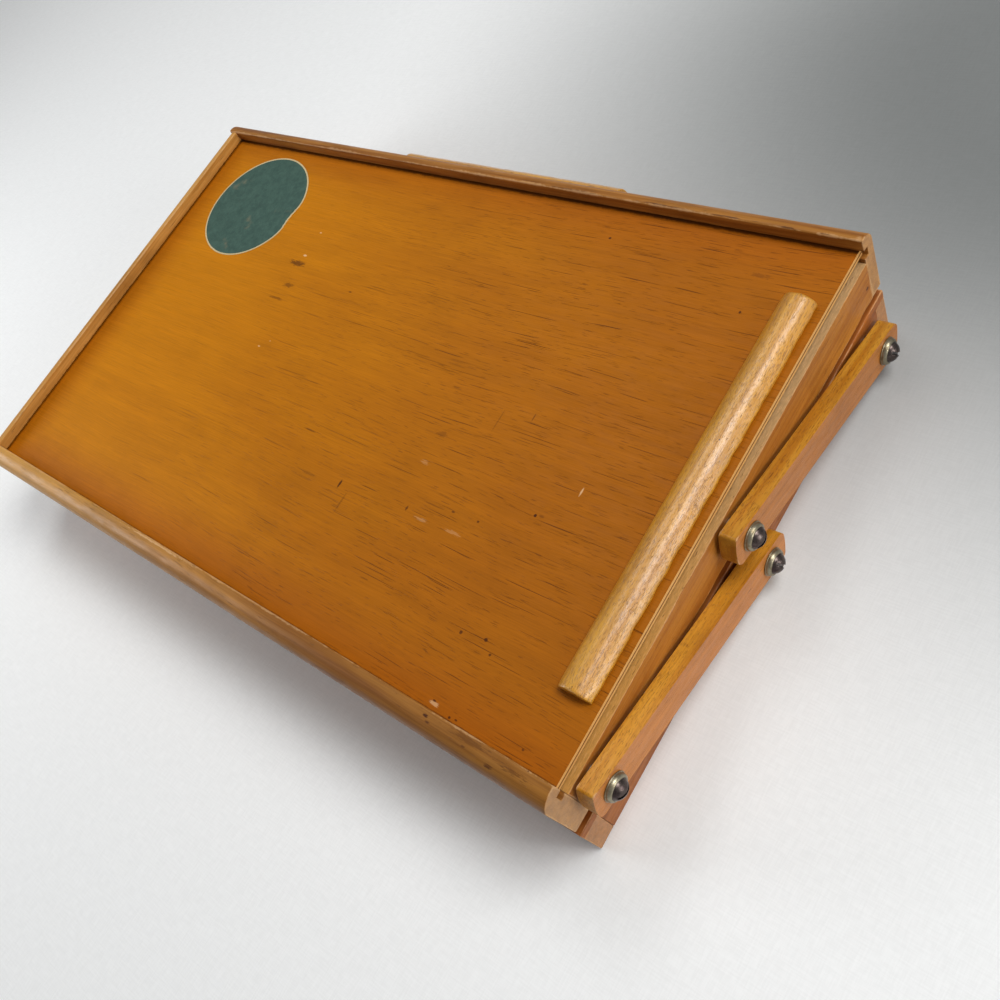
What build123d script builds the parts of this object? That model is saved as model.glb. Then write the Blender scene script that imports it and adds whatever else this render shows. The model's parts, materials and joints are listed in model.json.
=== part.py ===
from build123d import *
import math
import os

# A two-tray wooden accordion box for pencils, closed, in millimetres.
# X runs along the box and its lid slides out at +X, the nosed front rail is at -Y, and Z is up.
# The origin is under the middle of the box, on the underside of the lower tray.

# The box as a whole
box_length = 326.0
upper_width = 201.0
total_height = 51.6
lower_height = 20.2
tray_gap = 0.15              # play between the closed trays
lower_overhang = 0.3         # the lower tray stands out at the front and the rear

# Upper tray
front_thickness = 7.8
rear_thickness = 5.8
open_end_thickness = 6.0
closed_end_thickness = 5.2
nosing_radius = 5.6
rear_rounding = 4.8
closed_end_rounding = 4.0
arris_radius = 0.7
groove_below_top = 5.1
groove_height = 3.6
groove_depth = 2.2
open_end_below_top = 10.4
upper_bottom_thickness = 3.55
upper_bottom_inset = 2.6

# Lower tray
lower_front_thickness = 7.8
lower_rear_thickness = 6.0
lower_end_thickness = 6.0
lap_height = 3.4             # tongue of each end wall over the ends of the rails
lower_bottom_thickness = 4.0
rebate_depth = 3.4
foot_radius = 2.0
rim_radius = 0.5

# Lid
lid_thickness = 3.0
lid_play = 0.1
lid_side_play = 0.3
lid_recess = 1.9             # the closed lid stops short of the end face
batten_width = 12.1
batten_height = 5.4
batten_side = 1.3            # upright flank below the round
batten_arris = 0.5
pull_length = 141.5
pull_x = 152.5
pull_y = 2.0
label_radius = 28.7
label_thickness = 0.15
label_x = -115.2
label_y = 60.7

# Rear handle
handle_length = 112.0
handle_x = 9.5
handle_below_top = 10.6

# Folding arms
arm_pivot_length = 88.7
arm_slope = 15.3             # degrees above the level, closed
arm_width = 12.8
arm_thickness = 5.9
arm_end = 8.0                # wood beyond each pivot
arm_end_bow = 0.7
arm_corner_radius = 3.0
arm_crisp_radius = 1.0       # the upper corner at each upper end
arm_gap = 1.4                # between an arm and the trays' ends
lower_pivot_height = 10.5
rear_pivot_y = 84.6
front_pivot_y = 1.5

# Pivot screws and raised washers
shank_radius = 2.0
pivot_hole_radius = 2.1
screw_bite = 4.4             # shank inside the end wall
point_length = 1.8
head_radius = 3.5
dome_height = 2.35
slot_width = 1.0
slot_depth = 1.3
cup_radius = 4.85
cup_flange = 0.45
cup_height = 1.95
cup_rim_radius = 3.7
cup_shoulder_radius = 4.4
cup_shoulder_height = 1.3
cup_play = 0.1
upper_slot_turns = (15.0, 165.0, 40.0, 75.0)
lower_slot_turns = (128.0, 112.0, 60.0, 150.0)

# Levels and faces that follow from them
half_length = box_length / 2
half_width = upper_width / 2
lower_half_width = half_width + lower_overhang
lower_front_inner = -lower_half_width + lower_front_thickness
lower_rear_inner = lower_half_width - lower_rear_thickness
front_inner = -half_width + front_thickness
rear_inner = half_width - rear_thickness
closed_inner = -half_length + closed_end_thickness
open_inner = half_length - open_end_thickness
upper_bottom_base = lower_height + tray_gap
rail_base = upper_bottom_base + upper_bottom_thickness
groove_top = total_height - groove_below_top
groove_base = groove_top - groove_height
open_end_top = total_height - open_end_below_top
lid_base = groove_base + lid_play
lid_top = lid_base + lid_thickness
slope = math.radians(arm_slope)
arm_run = arm_pivot_length * math.cos(slope)
arm_rise = arm_pivot_length * math.sin(slope)
upper_pivot_height = lower_pivot_height + arm_rise
arm_inner_x = half_length + arm_gap
arm_outer_x = arm_inner_x + arm_thickness


def save(piece, label):
    """Name a finished piece and write its file."""
    piece.label = label
    export_step(piece, f"parts/{label}.step")


def block(x_limits, y_limits, z_limits, mode=Mode.ADD):
    """Add or cut a block between the given limits, in the piece being built."""
    limits = (x_limits, y_limits, z_limits)
    sizes = [high - low for low, high in limits]
    centre = [(low + high) / 2 for low, high in limits]
    with Locations(tuple(centre)):
        Box(*sizes, mode=mode)


def near(shape, u, v):
    """The corner of a sketch that lies nearest to a point of its plane."""
    return shape.vertices().sort_by_distance((u, v, 0))[0]


os.makedirs("parts", exist_ok=True)

# Arms' pivots in the YZ plane, rear arm first
lower_pivots = [(rear_pivot_y, lower_pivot_height), (front_pivot_y, lower_pivot_height)]
upper_pivots = [(y - arm_run, upper_pivot_height) for y, _ in lower_pivots]


def pivot_holes(pivots, side):
    """Cut the pilot holes of an end's two pivot screws."""
    for y, z in pivots:
        with Locations(Plane(origin=(side * half_length, y, z), z_dir=(-side, 0, 0))):
            Cylinder(
                shank_radius,
                screw_bite,
                align=(Align.CENTER, Align.CENTER, Align.MIN),
                mode=Mode.SUBTRACT,
            )


def foot_waste(side):
    """The profile that the rounded bottom edge leaves out of the lower tray's end at side -1 or 1."""
    face_x = side * half_length
    centre_x = face_x - side * foot_radius
    with BuildSketch(Plane.XZ) as waste:
        with BuildLine():
            Polyline((face_x, foot_radius), (face_x, 0), (centre_x, 0))
            CenterArc((centre_x, foot_radius), foot_radius, 270 if side > 0 else 180, 90)
        make_face()
    return waste.sketch


# Lower tray: front and rear rails, notched at the ends for the end walls' tongues
def lower_rail(outer, inner):
    """A rail of the lower tray between its outer and inner faces."""
    side = 1 if outer > inner else -1
    with BuildPart() as rail:
        with BuildSketch(Plane.YZ.offset(-half_length)) as profile:
            with BuildLine():
                Polyline((outer, 0), (inner, 0), (inner, lower_height), (outer, lower_height), close=True)
            make_face()
            fillet(near(profile, outer, 0), foot_radius)
            fillet(near(profile, outer, lower_height), rim_radius)
            fillet(near(profile, inner, lower_height), rim_radius)
        extrude(amount=box_length)
        rebate = sorted((inner, inner + side * rebate_depth))
        rebate_end = half_length - lower_end_thickness + rebate_depth
        block((-rebate_end, rebate_end), rebate, (0, lower_bottom_thickness), Mode.SUBTRACT)
        notch_y = sorted((outer, inner))
        for end in (-1, 1):
            notch_x = sorted((end * half_length, end * (half_length - lower_end_thickness)))
            block(notch_x, notch_y, (lower_height - lap_height, lower_height), Mode.SUBTRACT)
            extrude(foot_waste(end), amount=lower_half_width, both=True, mode=Mode.SUBTRACT)
    return rail.part


save(lower_rail(-lower_half_width, lower_front_inner), "lower_front_rail")
save(lower_rail(lower_half_width, lower_rear_inner), "lower_rear_rail")


# Lower tray: end walls, each with a tongue over the rails at both corners
def lower_end(side):
    """An end wall of the lower tray, at side -1 or 1."""
    start = -half_length if side < 0 else half_length - lower_end_thickness
    tongue_base = lower_height - lap_height
    with BuildPart() as wall:
        with BuildSketch(Plane.YZ.offset(start)):
            with BuildLine():
                Polyline(
                    (lower_front_inner, 0),
                    (lower_rear_inner, 0),
                    (lower_rear_inner, tongue_base),
                    (lower_half_width, tongue_base),
                    (lower_half_width, lower_height),
                    (-lower_half_width, lower_height),
                    (-lower_half_width, tongue_base),
                    (lower_front_inner, tongue_base),
                    close=True,
                )
            make_face()
        extrude(amount=lower_end_thickness)
        fillet(wall.edges().filter_by(Axis.Y).group_by(Axis.Z)[-1], rim_radius)
        extrude(foot_waste(side), amount=lower_half_width, both=True, mode=Mode.SUBTRACT)
        inner = half_length - lower_end_thickness
        rebate = sorted((side * inner, side * (inner + rebate_depth)))
        span = (lower_front_inner, lower_rear_inner)
        block(rebate, span, (0, lower_bottom_thickness), Mode.SUBTRACT)
        pivot_holes(lower_pivots, side)
    return wall.part


save(lower_end(-1), "lower_left_end")
save(lower_end(1), "lower_right_end")


# Bottom sheets, the lower one in its rebate and the upper one set in under its rails
with BuildPart() as lower_bottom:
    sheet_end = half_length - lower_end_thickness + rebate_depth
    sheet_y = (lower_front_inner - rebate_depth, lower_rear_inner + rebate_depth)
    block((-sheet_end, sheet_end), sheet_y, (0, lower_bottom_thickness))
save(lower_bottom.part, "lower_bottom")

with BuildPart() as upper_bottom:
    sheet_end = half_length - upper_bottom_inset
    sheet_side = half_width - upper_bottom_inset
    block((-sheet_end, sheet_end), (-sheet_side, sheet_side), (upper_bottom_base, rail_base))
save(upper_bottom.part, "upper_bottom")


# Upper tray: front and rear rails with the lid's groove, over the whole length
def grooved_rail(outer, inner, outer_radius):
    """A long rail of the upper tray, with the lid's groove in its inner face."""
    side = 1 if outer > inner else -1
    groove_back = inner + side * groove_depth
    with BuildPart() as rail:
        with BuildSketch(Plane.YZ.offset(-half_length)) as profile:
            with BuildLine():
                Polyline(
                    (outer, rail_base),
                    (inner, rail_base),
                    (inner, groove_base),
                    (groove_back, groove_base),
                    (groove_back, groove_top),
                    (inner, groove_top),
                    (inner, total_height),
                    (outer, total_height),
                    close=True,
                )
            make_face()
            fillet(near(profile, outer, total_height), outer_radius)
            fillet(near(profile, inner, total_height), arris_radius)
            fillet(near(profile, outer, rail_base), arris_radius)
        extrude(amount=box_length)
    return rail.part


save(grooved_rail(-half_width, front_inner, nosing_radius), "upper_front_rail")
save(grooved_rail(half_width, rear_inner, rear_rounding), "upper_rear_rail")

# Upper tray: rounded closed end between the rails, with the groove for the lid's end
with BuildPart() as upper_closed_end:
    with BuildSketch(Plane.XZ.offset(-rear_inner)) as profile:
        with BuildLine():
            Polyline(
                (-half_length, rail_base),
                (closed_inner, rail_base),
                (closed_inner, groove_base),
                (closed_inner - groove_depth, groove_base),
                (closed_inner - groove_depth, groove_top),
                (closed_inner, groove_top),
                (closed_inner, total_height),
                (-half_length, total_height),
                close=True,
            )
        make_face()
        fillet(near(profile, -half_length, total_height), closed_end_rounding)
        fillet(near(profile, closed_inner, total_height), arris_radius)
        fillet(near(profile, -half_length, rail_base), arris_radius)
    extrude(amount=rear_inner - front_inner)
    pivot_holes(upper_pivots, -1)
save(upper_closed_end.part, "upper_closed_end")

# Upper tray: low open end between the rails
with BuildPart() as upper_open_end:
    block((open_inner, half_length), (front_inner, rear_inner), (rail_base, open_end_top))
    pivot_holes(upper_pivots, 1)
save(upper_open_end.part, "upper_open_end")


# Half-round battens: the lid's pull and the rear handle
def batten(start, along, across, length):
    """A batten of a given length from a start point, with its flat face on what carries it."""
    plane = Plane(origin=start, x_dir=across, z_dir=along)
    half = batten_width / 2
    with BuildPart() as strip:
        with BuildSketch(plane):
            with BuildLine():
                Polyline((-half, batten_side), (-half, 0), (half, 0), (half, batten_side))
                ThreePointArc((half, batten_side), (0, batten_height), (-half, batten_side))
            make_face()
        extrude(amount=length)
        end_faces = strip.faces().filter_by(Axis(start, along))
        chamfer(end_faces.edges().filter_by(GeomType.CIRCLE), batten_arris)
    return strip.part


save(batten((pull_x, pull_y + pull_length / 2, lid_top), (0, -1, 0), (1, 0, 0), pull_length), "lid_pull")
handle_height = total_height - handle_below_top
save(
    batten((handle_x - handle_length / 2, half_width, handle_height), (1, 0, 0), (0, 0, -1), handle_length),
    "rear_handle",
)

# Lid sheet and its round label
with BuildPart() as lid_panel:
    block(
        (closed_inner - groove_depth + lid_side_play, half_length - lid_recess),
        (front_inner - groove_depth + lid_side_play, rear_inner + groove_depth - lid_side_play),
        (lid_base, lid_top),
    )
save(lid_panel.part, "lid_panel")

with BuildPart() as lid_label:
    with BuildSketch(Plane.XY.offset(lid_top)):
        with Locations((label_x, label_y)):
            Circle(label_radius)
    extrude(amount=label_thickness)
save(lid_label.part, "lid_label")


# Folding arms
def arm(side, lower_pivot, upper_pivot):
    """An arm on the end at side -1 or 1, between its two pivots given as (y, z)."""
    start = arm_inner_x if side > 0 else -arm_outer_x
    middle_y = (lower_pivot[0] + upper_pivot[0]) / 2
    middle_z = (lower_pivot[1] + upper_pivot[1]) / 2
    along = Vector(0, upper_pivot[0] - lower_pivot[0], upper_pivot[1] - lower_pivot[1])
    plane = Plane(origin=(start, middle_y, middle_z), x_dir=along, z_dir=(1, 0, 0))
    tip = arm_pivot_length / 2 + arm_end
    half = arm_width / 2
    with BuildPart() as bar:
        with BuildSketch(plane) as outline:
            with BuildLine():
                Line((-tip, -half), (tip, -half))
                ThreePointArc((tip, -half), (tip + arm_end_bow, 0), (tip, half))
                Line((tip, half), (-tip, half))
                ThreePointArc((-tip, half), (-tip - arm_end_bow, 0), (-tip, -half))
            make_face()
            fillet(near(outline, tip, -half), arm_crisp_radius)
            for end_x, end_y in ((tip, half), (-tip, -half), (-tip, half)):
                fillet(near(outline, end_x, end_y), arm_corner_radius)
            with Locations((-arm_pivot_length / 2, 0), (arm_pivot_length / 2, 0)):
                Circle(pivot_hole_radius, mode=Mode.SUBTRACT)
        extrude(amount=arm_thickness)
    return bar.part


for side, side_name in ((1, "right"), (-1, "left")):
    for place, name in enumerate(("rear", "front")):
        save(arm(side, lower_pivots[place], upper_pivots[place]), f"arm_{side_name}_{name}")


# Pivot hardware, each kind turned once about Z, with zero at the arm's outer face
head_seat = cup_play + cup_height
dome_top = head_seat + dome_height
dome_radius = (head_radius**2 + dome_height**2) / (2 * dome_height)
screw_tip = half_length - arm_outer_x - screw_bite

# Slotted round-head wood screw
with BuildPart() as pivot_screw:
    with BuildSketch(Plane.XZ):
        with BuildLine():
            Polyline(
                (0, dome_top),
                (0, screw_tip),
                (shank_radius, screw_tip + point_length),
                (shank_radius, head_seat),
                (head_radius, head_seat),
            )
            arc_middle = dome_radius * math.sin(math.asin(head_radius / dome_radius) / 2)
            arc_height = dome_top - dome_radius + math.sqrt(dome_radius**2 - arc_middle**2)
            ThreePointArc((head_radius, head_seat), (arc_middle, arc_height), (0, dome_top))
        make_face()
    revolve(axis=Axis.Z)
    block(
        (-head_radius, head_radius),
        (-slot_width / 2, slot_width / 2),
        (dome_top - slot_depth, dome_top),
        Mode.SUBTRACT,
    )

with BuildPart() as cup_washer:
    with BuildSketch(Plane.XZ):
        with BuildLine():
            Polyline(
                (cup_rim_radius, head_seat),
                (pivot_hole_radius, head_seat),
                (pivot_hole_radius, cup_play),
                (cup_radius, cup_play),
                (cup_radius, cup_play + cup_flange),
                (cup_shoulder_radius, cup_play + cup_shoulder_height),
                close=True,
            )
        make_face()
    revolve(axis=Axis.Z)


def at_pivots(piece, pivots, turns):
    """Copies of a turned piece on the pivots of both ends, each turned about its own axis."""
    places = [(side, y, z) for side in (1, -1) for y, z in pivots]
    with BuildPart() as group:
        for (side, y, z), turn in zip(places, turns):
            face = Plane(origin=(side * arm_outer_x, y, z), x_dir=(0, side, 0), z_dir=(side, 0, 0))
            with Locations(face):
                add(piece, rotation=(0, 0, turn))
    return group.part


for tray, pivots, turns in (
    ("upper", upper_pivots, upper_slot_turns),
    ("lower", lower_pivots, lower_slot_turns),
):
    save(at_pivots(pivot_screw.part, pivots, turns), f"{tray}_pivot_screws")
    save(at_pivots(cup_washer.part, pivots, turns), f"{tray}_cup_washers")
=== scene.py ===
import functools
import json
import math

import bmesh
import bpy
from bpy.props import FloatProperty, FloatVectorProperty, IntProperty, PointerProperty
from mathutils import Matrix, Quaternion, Vector, noise


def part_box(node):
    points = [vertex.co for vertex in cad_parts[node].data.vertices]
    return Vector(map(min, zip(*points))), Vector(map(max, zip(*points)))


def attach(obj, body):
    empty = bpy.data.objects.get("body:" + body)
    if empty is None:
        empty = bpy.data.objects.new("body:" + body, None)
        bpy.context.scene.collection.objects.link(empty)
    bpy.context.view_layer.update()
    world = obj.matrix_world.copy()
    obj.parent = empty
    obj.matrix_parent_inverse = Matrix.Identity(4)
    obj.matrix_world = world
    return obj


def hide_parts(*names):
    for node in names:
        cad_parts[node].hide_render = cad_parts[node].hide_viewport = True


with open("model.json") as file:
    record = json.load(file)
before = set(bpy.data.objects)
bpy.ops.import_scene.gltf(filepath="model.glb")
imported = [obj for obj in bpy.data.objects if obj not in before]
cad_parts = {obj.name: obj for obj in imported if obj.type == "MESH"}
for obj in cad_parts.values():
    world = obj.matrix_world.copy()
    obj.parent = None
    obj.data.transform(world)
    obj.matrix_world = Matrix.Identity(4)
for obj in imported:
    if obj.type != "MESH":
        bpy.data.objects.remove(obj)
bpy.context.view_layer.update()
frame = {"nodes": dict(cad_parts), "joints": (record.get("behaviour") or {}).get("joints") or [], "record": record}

# A two-tray wooden accordion box for pencils, in metres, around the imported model.
# X runs along the box, the nosed front rail is at -Y, and Z is up.

bl_info = {
    "name": "Accordion Pencil Box",
    "version": (1, 0, 0),
    "blender": (4, 5, 0),
    "location": "3D View > Sidebar > Pencil Box",
    "description": "Varnished boards, battens, arms and pivot hardware of a two-tray pencil box",
    "category": "Object",
}


def srgb(red, green, blue):
    """A colour written as 0 to 255 on screen, as the linear values that shaders take."""
    def linear(value):
        value /= 255
        return value / 12.92 if value <= 0.04045 else ((value + 0.055) / 1.055) ** 2.4
    return (linear(red), linear(green), linear(blue))


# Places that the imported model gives
BODY_OF = {n: body for body, ns in frame["record"]["behaviour"]["bodies"].items() for n in ns}
JOINT_AT = {joint["name"]: Vector(joint["pos_m"]) for joint in frame["joints"] if "pos_m" in joint}
LOWER_REAR = JOINT_AT["fold"]
UPPER_REAR = JOINT_AT["upper_tray_level"]
LOWER_FRONT = JOINT_AT["arm_right_front_swing"]
UPPER_FRONT = UPPER_REAR + LOWER_FRONT - LOWER_REAR
ARM_SLOPE = math.atan2(UPPER_REAR.z - LOWER_REAR.z, LOWER_REAR.y - UPPER_REAR.y)
ARM_LOW, ARM_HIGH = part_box("arm_right_rear")
ARM_INNER_X, ARM_OUTER_X = ARM_LOW.x, ARM_HIGH.x
LID_LOW, LID_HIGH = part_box("lid_panel")
LABEL_LOW, LABEL_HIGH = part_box("lid_label")
UPPER_END_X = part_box("upper_open_end")[1].x
LOWER_END_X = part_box("lower_right_end")[1].x
SCREW_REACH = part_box("upper_pivot_screws")[1].x - ARM_OUTER_X
CLOSED_LOW, CLOSED_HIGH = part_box("upper_closed_end")
FRONT_INNER, REAR_INNER, CLOSED_INNER = CLOSED_LOW.y, CLOSED_HIGH.y, CLOSED_HIGH.x

# Turns that bring a board's grain onto X
ALONG_X = (0.0, 0.0, 0.0)
ALONG_Y = (0.0, 0.0, math.pi / 2)
ALONG_ARM = (ARM_SLOPE, 0.0, math.pi / 2)

MERGE_DISTANCE = 2e-6
FLAT_ANGLE = math.radians(1.0)
SMOOTH_ANGLE = math.radians(32.0)


def length(name, description, default, low=0.0):
    """A size in metres that the panel offers."""
    return FloatProperty(
        name=name, description=description, default=default, min=low, precision=5,
        unit="LENGTH", subtype="DISTANCE",
    )


def share(name, description, default):
    """A factor from 0 to 1."""
    return FloatProperty(
        name=name, description=description, default=default, min=0.0, max=1.0, subtype="FACTOR",
    )


def tone(name, description, red, green, blue):
    """A colour, given as 0 to 255 on screen."""
    return FloatVectorProperty(
        name=name, description=description, default=srgb(red, green, blue), size=3, min=0.0, max=1.0,
        subtype="COLOR",
    )


def power(name, description, default):
    """The power of a lamp."""
    return FloatProperty(name=name, description=description, default=default)


class BoardSettings(bpy.types.PropertyGroup):
    """Sizes and varnish colours of the boards, battens and arms."""

    arris: length("Arris", "Width of the softened arrises of most boards", 0.0004)
    fine_arris: length(
        "Fine arris", "Width of the softened arrises of the low end wall and lower tray", 0.0002)
    dent_depth: length("Dent depth", "Deepest dent along a board's arris", 0.00022)
    dent_reach: length("Dent reach", "How far from the arris a dent reaches", 0.0012)
    dent_spacing: length(
        "Dent spacing", "Length between the rings of vertices that take dents", 0.0025, 0.001)
    rough_depth: length("Rough depth", "Deepest chip in the low end wall's top", 0.00035)
    wear_width: length("Wear width", "Width of the pale worn band along an arris", 0.0006)
    # Width of the line of painted shade and dirt beside the lid.
    dirt_width: length("Dirt width", "Width of the dirt beside the lid", 0.0014)
    border_reach: length("Border reach", "How far the lid's warmer border reaches from the rails", 0.022)
    wander: length("Wander", "How far the grain wanders across a board", 0.007)
    rail_light: tone("Rail light", "Lighter streaks of the upper rails", 170, 114, 48)
    rail_dark: tone("Rail dark", "Darker streaks of the upper rails", 136, 82, 26)
    # Painted light: the front rail is painted paler near the closed end, where more light falls on it.
    nosing: tone("Nosing", "Paler front rail near the closed end", 204, 148, 64)
    closed_light: tone("Closed end light", "Lighter streaks of the closed end", 206, 152, 78)
    closed_dark: tone("Closed end dark", "Darker streaks of the closed end", 184, 128, 56)
    end_light: tone("Low wall light", "Lighter streaks of the low end wall", 180, 116, 44)
    end_dark: tone("Low wall dark", "Darker streaks of the low end wall", 156, 92, 30)
    lower_light: tone("Lower tray light", "Lighter streaks of the lower tray", 168, 100, 42)
    lower_dark: tone("Lower tray dark", "Darker streaks of the lower tray", 132, 72, 24)
    worn: tone("Worn wood", "Wood where the varnish has rubbed off", 222, 180, 132)
    bare: tone("Bare wood", "Rough bare wood on top of the low end wall", 192, 154, 106)
    bare_front: tone("Bare front", "Bare wood of that top near the front rail", 204, 150, 78)
    # Painted sheen: the lid's tones run from golden at the closed end to more brown at the open end, and the
    # lighter closed end is partly a painted sheen.
    lid_left: tone("Lid left", "Golden varnish near the closed end", 196, 122, 10)
    lid_right: tone("Lid right", "Browner varnish near the open end", 164, 94, 9)
    # The lid is painted darker and warmer near the rails, fading out over the border reach.
    lid_border: tone("Lid border", "Warmer varnish along the rails", 160, 84, 8)
    pore: tone("Pore", "Dirt in the open pores", 72, 34, 10)
    beech_light: tone("Beech light", "Lighter beech under varnish", 214, 152, 48)
    beech_dark: tone("Beech dark", "Darker beech under varnish", 188, 120, 28)
    # Painted sheen: the arms' outer faces are painted paler and greyer, standing for the bright surroundings that
    # they reflect.
    beech_outer: tone("Beech outer", "Faded beech on the arms' outer faces", 186, 116, 56)
    beech_fleck: tone("Beech fleck", "Short flecks of the beech", 122, 66, 14)
    batten_light: tone("Batten light", "Lighter rubbed beech of the battens", 210, 150, 32)
    batten_dark: tone("Batten dark", "Darker rubbed beech of the battens", 186, 124, 20)
    ply_light: tone("Ply light", "Pale ply at a sheet's edge", 206, 156, 92)
    ply_dark: tone("Ply dark", "Dark ply and glue at a sheet's edge", 122, 70, 30)
    # Painted shade: the upper sheet's edge, deep in the recess between the trays, is painted dark reddish brown
    # where shade falls.
    recess_light: tone("Recess light", "Stained edge of the sheet between the trays", 170, 88, 42)
    recess_dark: tone("Recess dark", "Darker stain between the trays", 118, 52, 22)
    sheet_light: tone("Sheet light", "Lighter streaks of the bottom sheets", 206, 160, 104)
    sheet_dark: tone("Sheet dark", "Darker streaks of the bottom sheets", 176, 124, 70)


class BattenSettings(bpy.types.PropertyGroup):
    """Shape of the half-round battens on the lid and on the rear rail."""

    flank: length("Flank", "Upright side below the round", 0.0013)
    end_bevel: length("End bevel", "Softening round the ends", 0.0007)
    waviness: length("Waviness", "How far the shaved surface waves", 0.0002)
    pitch: length("Pitch", "Size of the waves of the shaved surface", 0.004)


class HardwareSettings(bpy.types.PropertyGroup):
    """Sizes and colours of the pivot screws, washers and nails."""

    head_radius: length("Head radius", "Radius of a pivot screw's head", 0.0035)
    slot_width: length("Slot width", "Width of the screwdriver slot", 0.001)
    slot_depth: length("Slot depth", "Depth of the slot below the dome's top", 0.0013)
    shank_radius: length("Shank radius", "Radius of a pivot screw's shank", 0.002)
    screw_bite: length("Screw bite", "Length of shank inside the end wall", 0.0044)
    cup_radius: length("Washer radius", "Radius of a raised washer's flange", 0.00485)
    cup_height: length("Washer height", "Height of a raised washer", 0.00195)
    flange_height: length("Flange height", "Thickness of a raised washer's flange", 0.00045)
    seat_depth: length("Seat depth", "How deep the head sits in its washer", 0.0003)
    play: length("Play", "Gap between a washer and what it lies on", 0.0001)
    spacer_radius: length("Spacer radius", "Radius of the plain washers behind the arms", 0.0042)
    nail_radius: length("Nail head radius", "Radius of a bottom nail's head", 0.0011)
    nail_sink: length("Nail sink", "Depth of a nail head below the sheet's face", 0.0002)
    nail_length: length("Nail length", "Length of a bottom nail", 0.011)
    nickel: tone("Nickel", "Plating of the raised washers", 152, 144, 122)
    nickel_stain: tone("Nickel stain", "Tarnish of the raised washers", 116, 102, 76)
    screw_dark: tone("Screw", "Blued steel of the screws", 88, 78, 74)
    screw_stain: tone("Screw stain", "Darker patches of the screws", 60, 48, 50)
    screw_bright: tone("Burr", "Bare steel along the slot", 214, 210, 208)
    plain: tone("Plain steel", "Steel of the spacers and nails", 150, 146, 140)
    nail_stain: tone("Nail stain", "Darker patches of the nails", 88, 78, 68)
    spacer_stain: tone("Spacer stain", "Darker patches of the spacers", 96, 88, 80)


class LabelSettings(bpy.types.PropertyGroup):
    """The round paper label, which stays bare."""

    rim: length("Rim", "Width of the cream rim", 0.0007)
    nick_depth: length("Nick depth", "Deepest tear in the label's edge", 0.0026)
    fuzz: length("Fuzz", "Unevenness of the rest of the edge", 0.00006)
    nick_angle: FloatProperty(
        name="Nick angle", description="Direction of the torn edge from the label's middle",
        default=math.radians(-3.0), unit="ROTATION", subtype="ANGLE",
    )
    nick_spread: FloatProperty(
        name="Nick spread", description="Half of the angle that the torn edge takes",
        default=math.radians(13.0), unit="ROTATION", subtype="ANGLE",
    )
    points: IntProperty(name="Points", description="Points round the label", default=288, min=48)
    green: tone("Green", "Faded green paper", 64, 92, 82)
    green_dark: tone("Green dark", "Darker mottling of the paper", 46, 74, 66)
    cream: tone("Cream", "Rim and torn paper", 200, 182, 140)


class StageSettings(bpy.types.PropertyGroup):
    """Camera, floor and lamps."""

    camera_at: FloatVectorProperty(
        name="Camera place", description="Place of the camera", size=3,
        default=(0.28354, -0.09484, 0.30337), unit="LENGTH", subtype="TRANSLATION",
    )
    camera_target: FloatVectorProperty(
        name="Camera target", description="Point of the lid in the middle of the picture", size=3,
        default=(0.09369, -0.02418, 0.046), unit="LENGTH", subtype="TRANSLATION",
    )
    camera_roll: FloatProperty(
        name="Camera roll", description="Turn of the camera about its own axis",
        default=math.radians(-41.815), unit="ROTATION", subtype="ANGLE",
    )
    camera_lens: FloatProperty(
        name="Lens", description="Focal length on a sensor 36 mm wide", default=36.24, min=1.0,
        unit="CAMERA",
    )
    floor_light: tone("Floor light", "Floor round most of the box", 244, 246, 247)
    # Painted shade: the floor is painted darker behind the open end, where the light falls off.
    floor_dark: tone("Floor dark", "Floor where it falls away behind the open end", 124, 127, 127)
    key_power: power("Key power", "Power of the large lamp behind the open end", 10.0)
    top_power: power("Top power", "Power of the small lamp overhead", 2.2)
    left_power: power("Left power", "Power of the lamp at the closed end", 1.5)
    end_power: power("End power", "Power of the low lamp at the open end", 3.8)
    sky: share("Sky", "Light that the surroundings send", 0.11)
    backdrop: share("Backdrop", "Brightness of the surroundings as seen in gloss", 0.38)


SETTINGS = {
    "box_boards": BoardSettings,
    "box_battens": BattenSettings,
    "box_hardware": HardwareSettings,
    "box_label": LabelSettings,
    "box_stage": StageSettings,
}


# Short ways to model


def activate(piece):
    """Select one object alone and make it the active one."""
    bpy.ops.object.select_all(action="DESELECT")
    piece.select_set(True)
    bpy.context.view_layer.objects.active = piece


def pick(piece, kind, test):
    """In edit mode, select only the edges or faces that pass a test."""
    bpy.ops.mesh.select_mode(type={"edges": "EDGE", "faces": "FACE"}[kind])
    bpy.ops.mesh.select_all(action="DESELECT")
    mesh = bmesh.from_edit_mesh(piece.data)
    for element in getattr(mesh, kind):
        if test(element):
            element.select_set(True)
    bmesh.update_edit_mesh(piece.data)


def begin_edit(piece):
    """Open a piece in edit mode with everything selected."""
    activate(piece)
    bpy.ops.object.mode_set(mode="EDIT")
    bpy.ops.mesh.select_mode(type="VERT")
    bpy.ops.mesh.select_all(action="SELECT")


def end_edit():
    bpy.ops.object.mode_set(mode="OBJECT")


def apply_modifier(piece, kind, **settings):
    """Add a modifier with its settings and apply it."""
    activate(piece)
    modifier = piece.modifiers.new(kind.title(), kind)
    for name, value in settings.items():
        setattr(modifier, name, value)
    bpy.ops.object.modifier_apply(modifier=modifier.name)


def smooth(piece):
    """Smooth shading up to an angle, with normals that keep broad faces flat."""
    activate(piece)
    bpy.ops.object.shade_smooth_by_angle(angle=SMOOTH_ANGLE)
    apply_modifier(piece, "WEIGHTED_NORMAL", keep_sharp=True)


def finish_piece(piece, body, material, slot, *nodes):
    """Give a piece its material, its body and the nodes that it stands for."""
    piece.data.materials.clear()
    for one in material if isinstance(material, list) else [material]:
        piece.data.materials.append(one)
    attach(piece, body)
    if nodes:
        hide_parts(*nodes)


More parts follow.
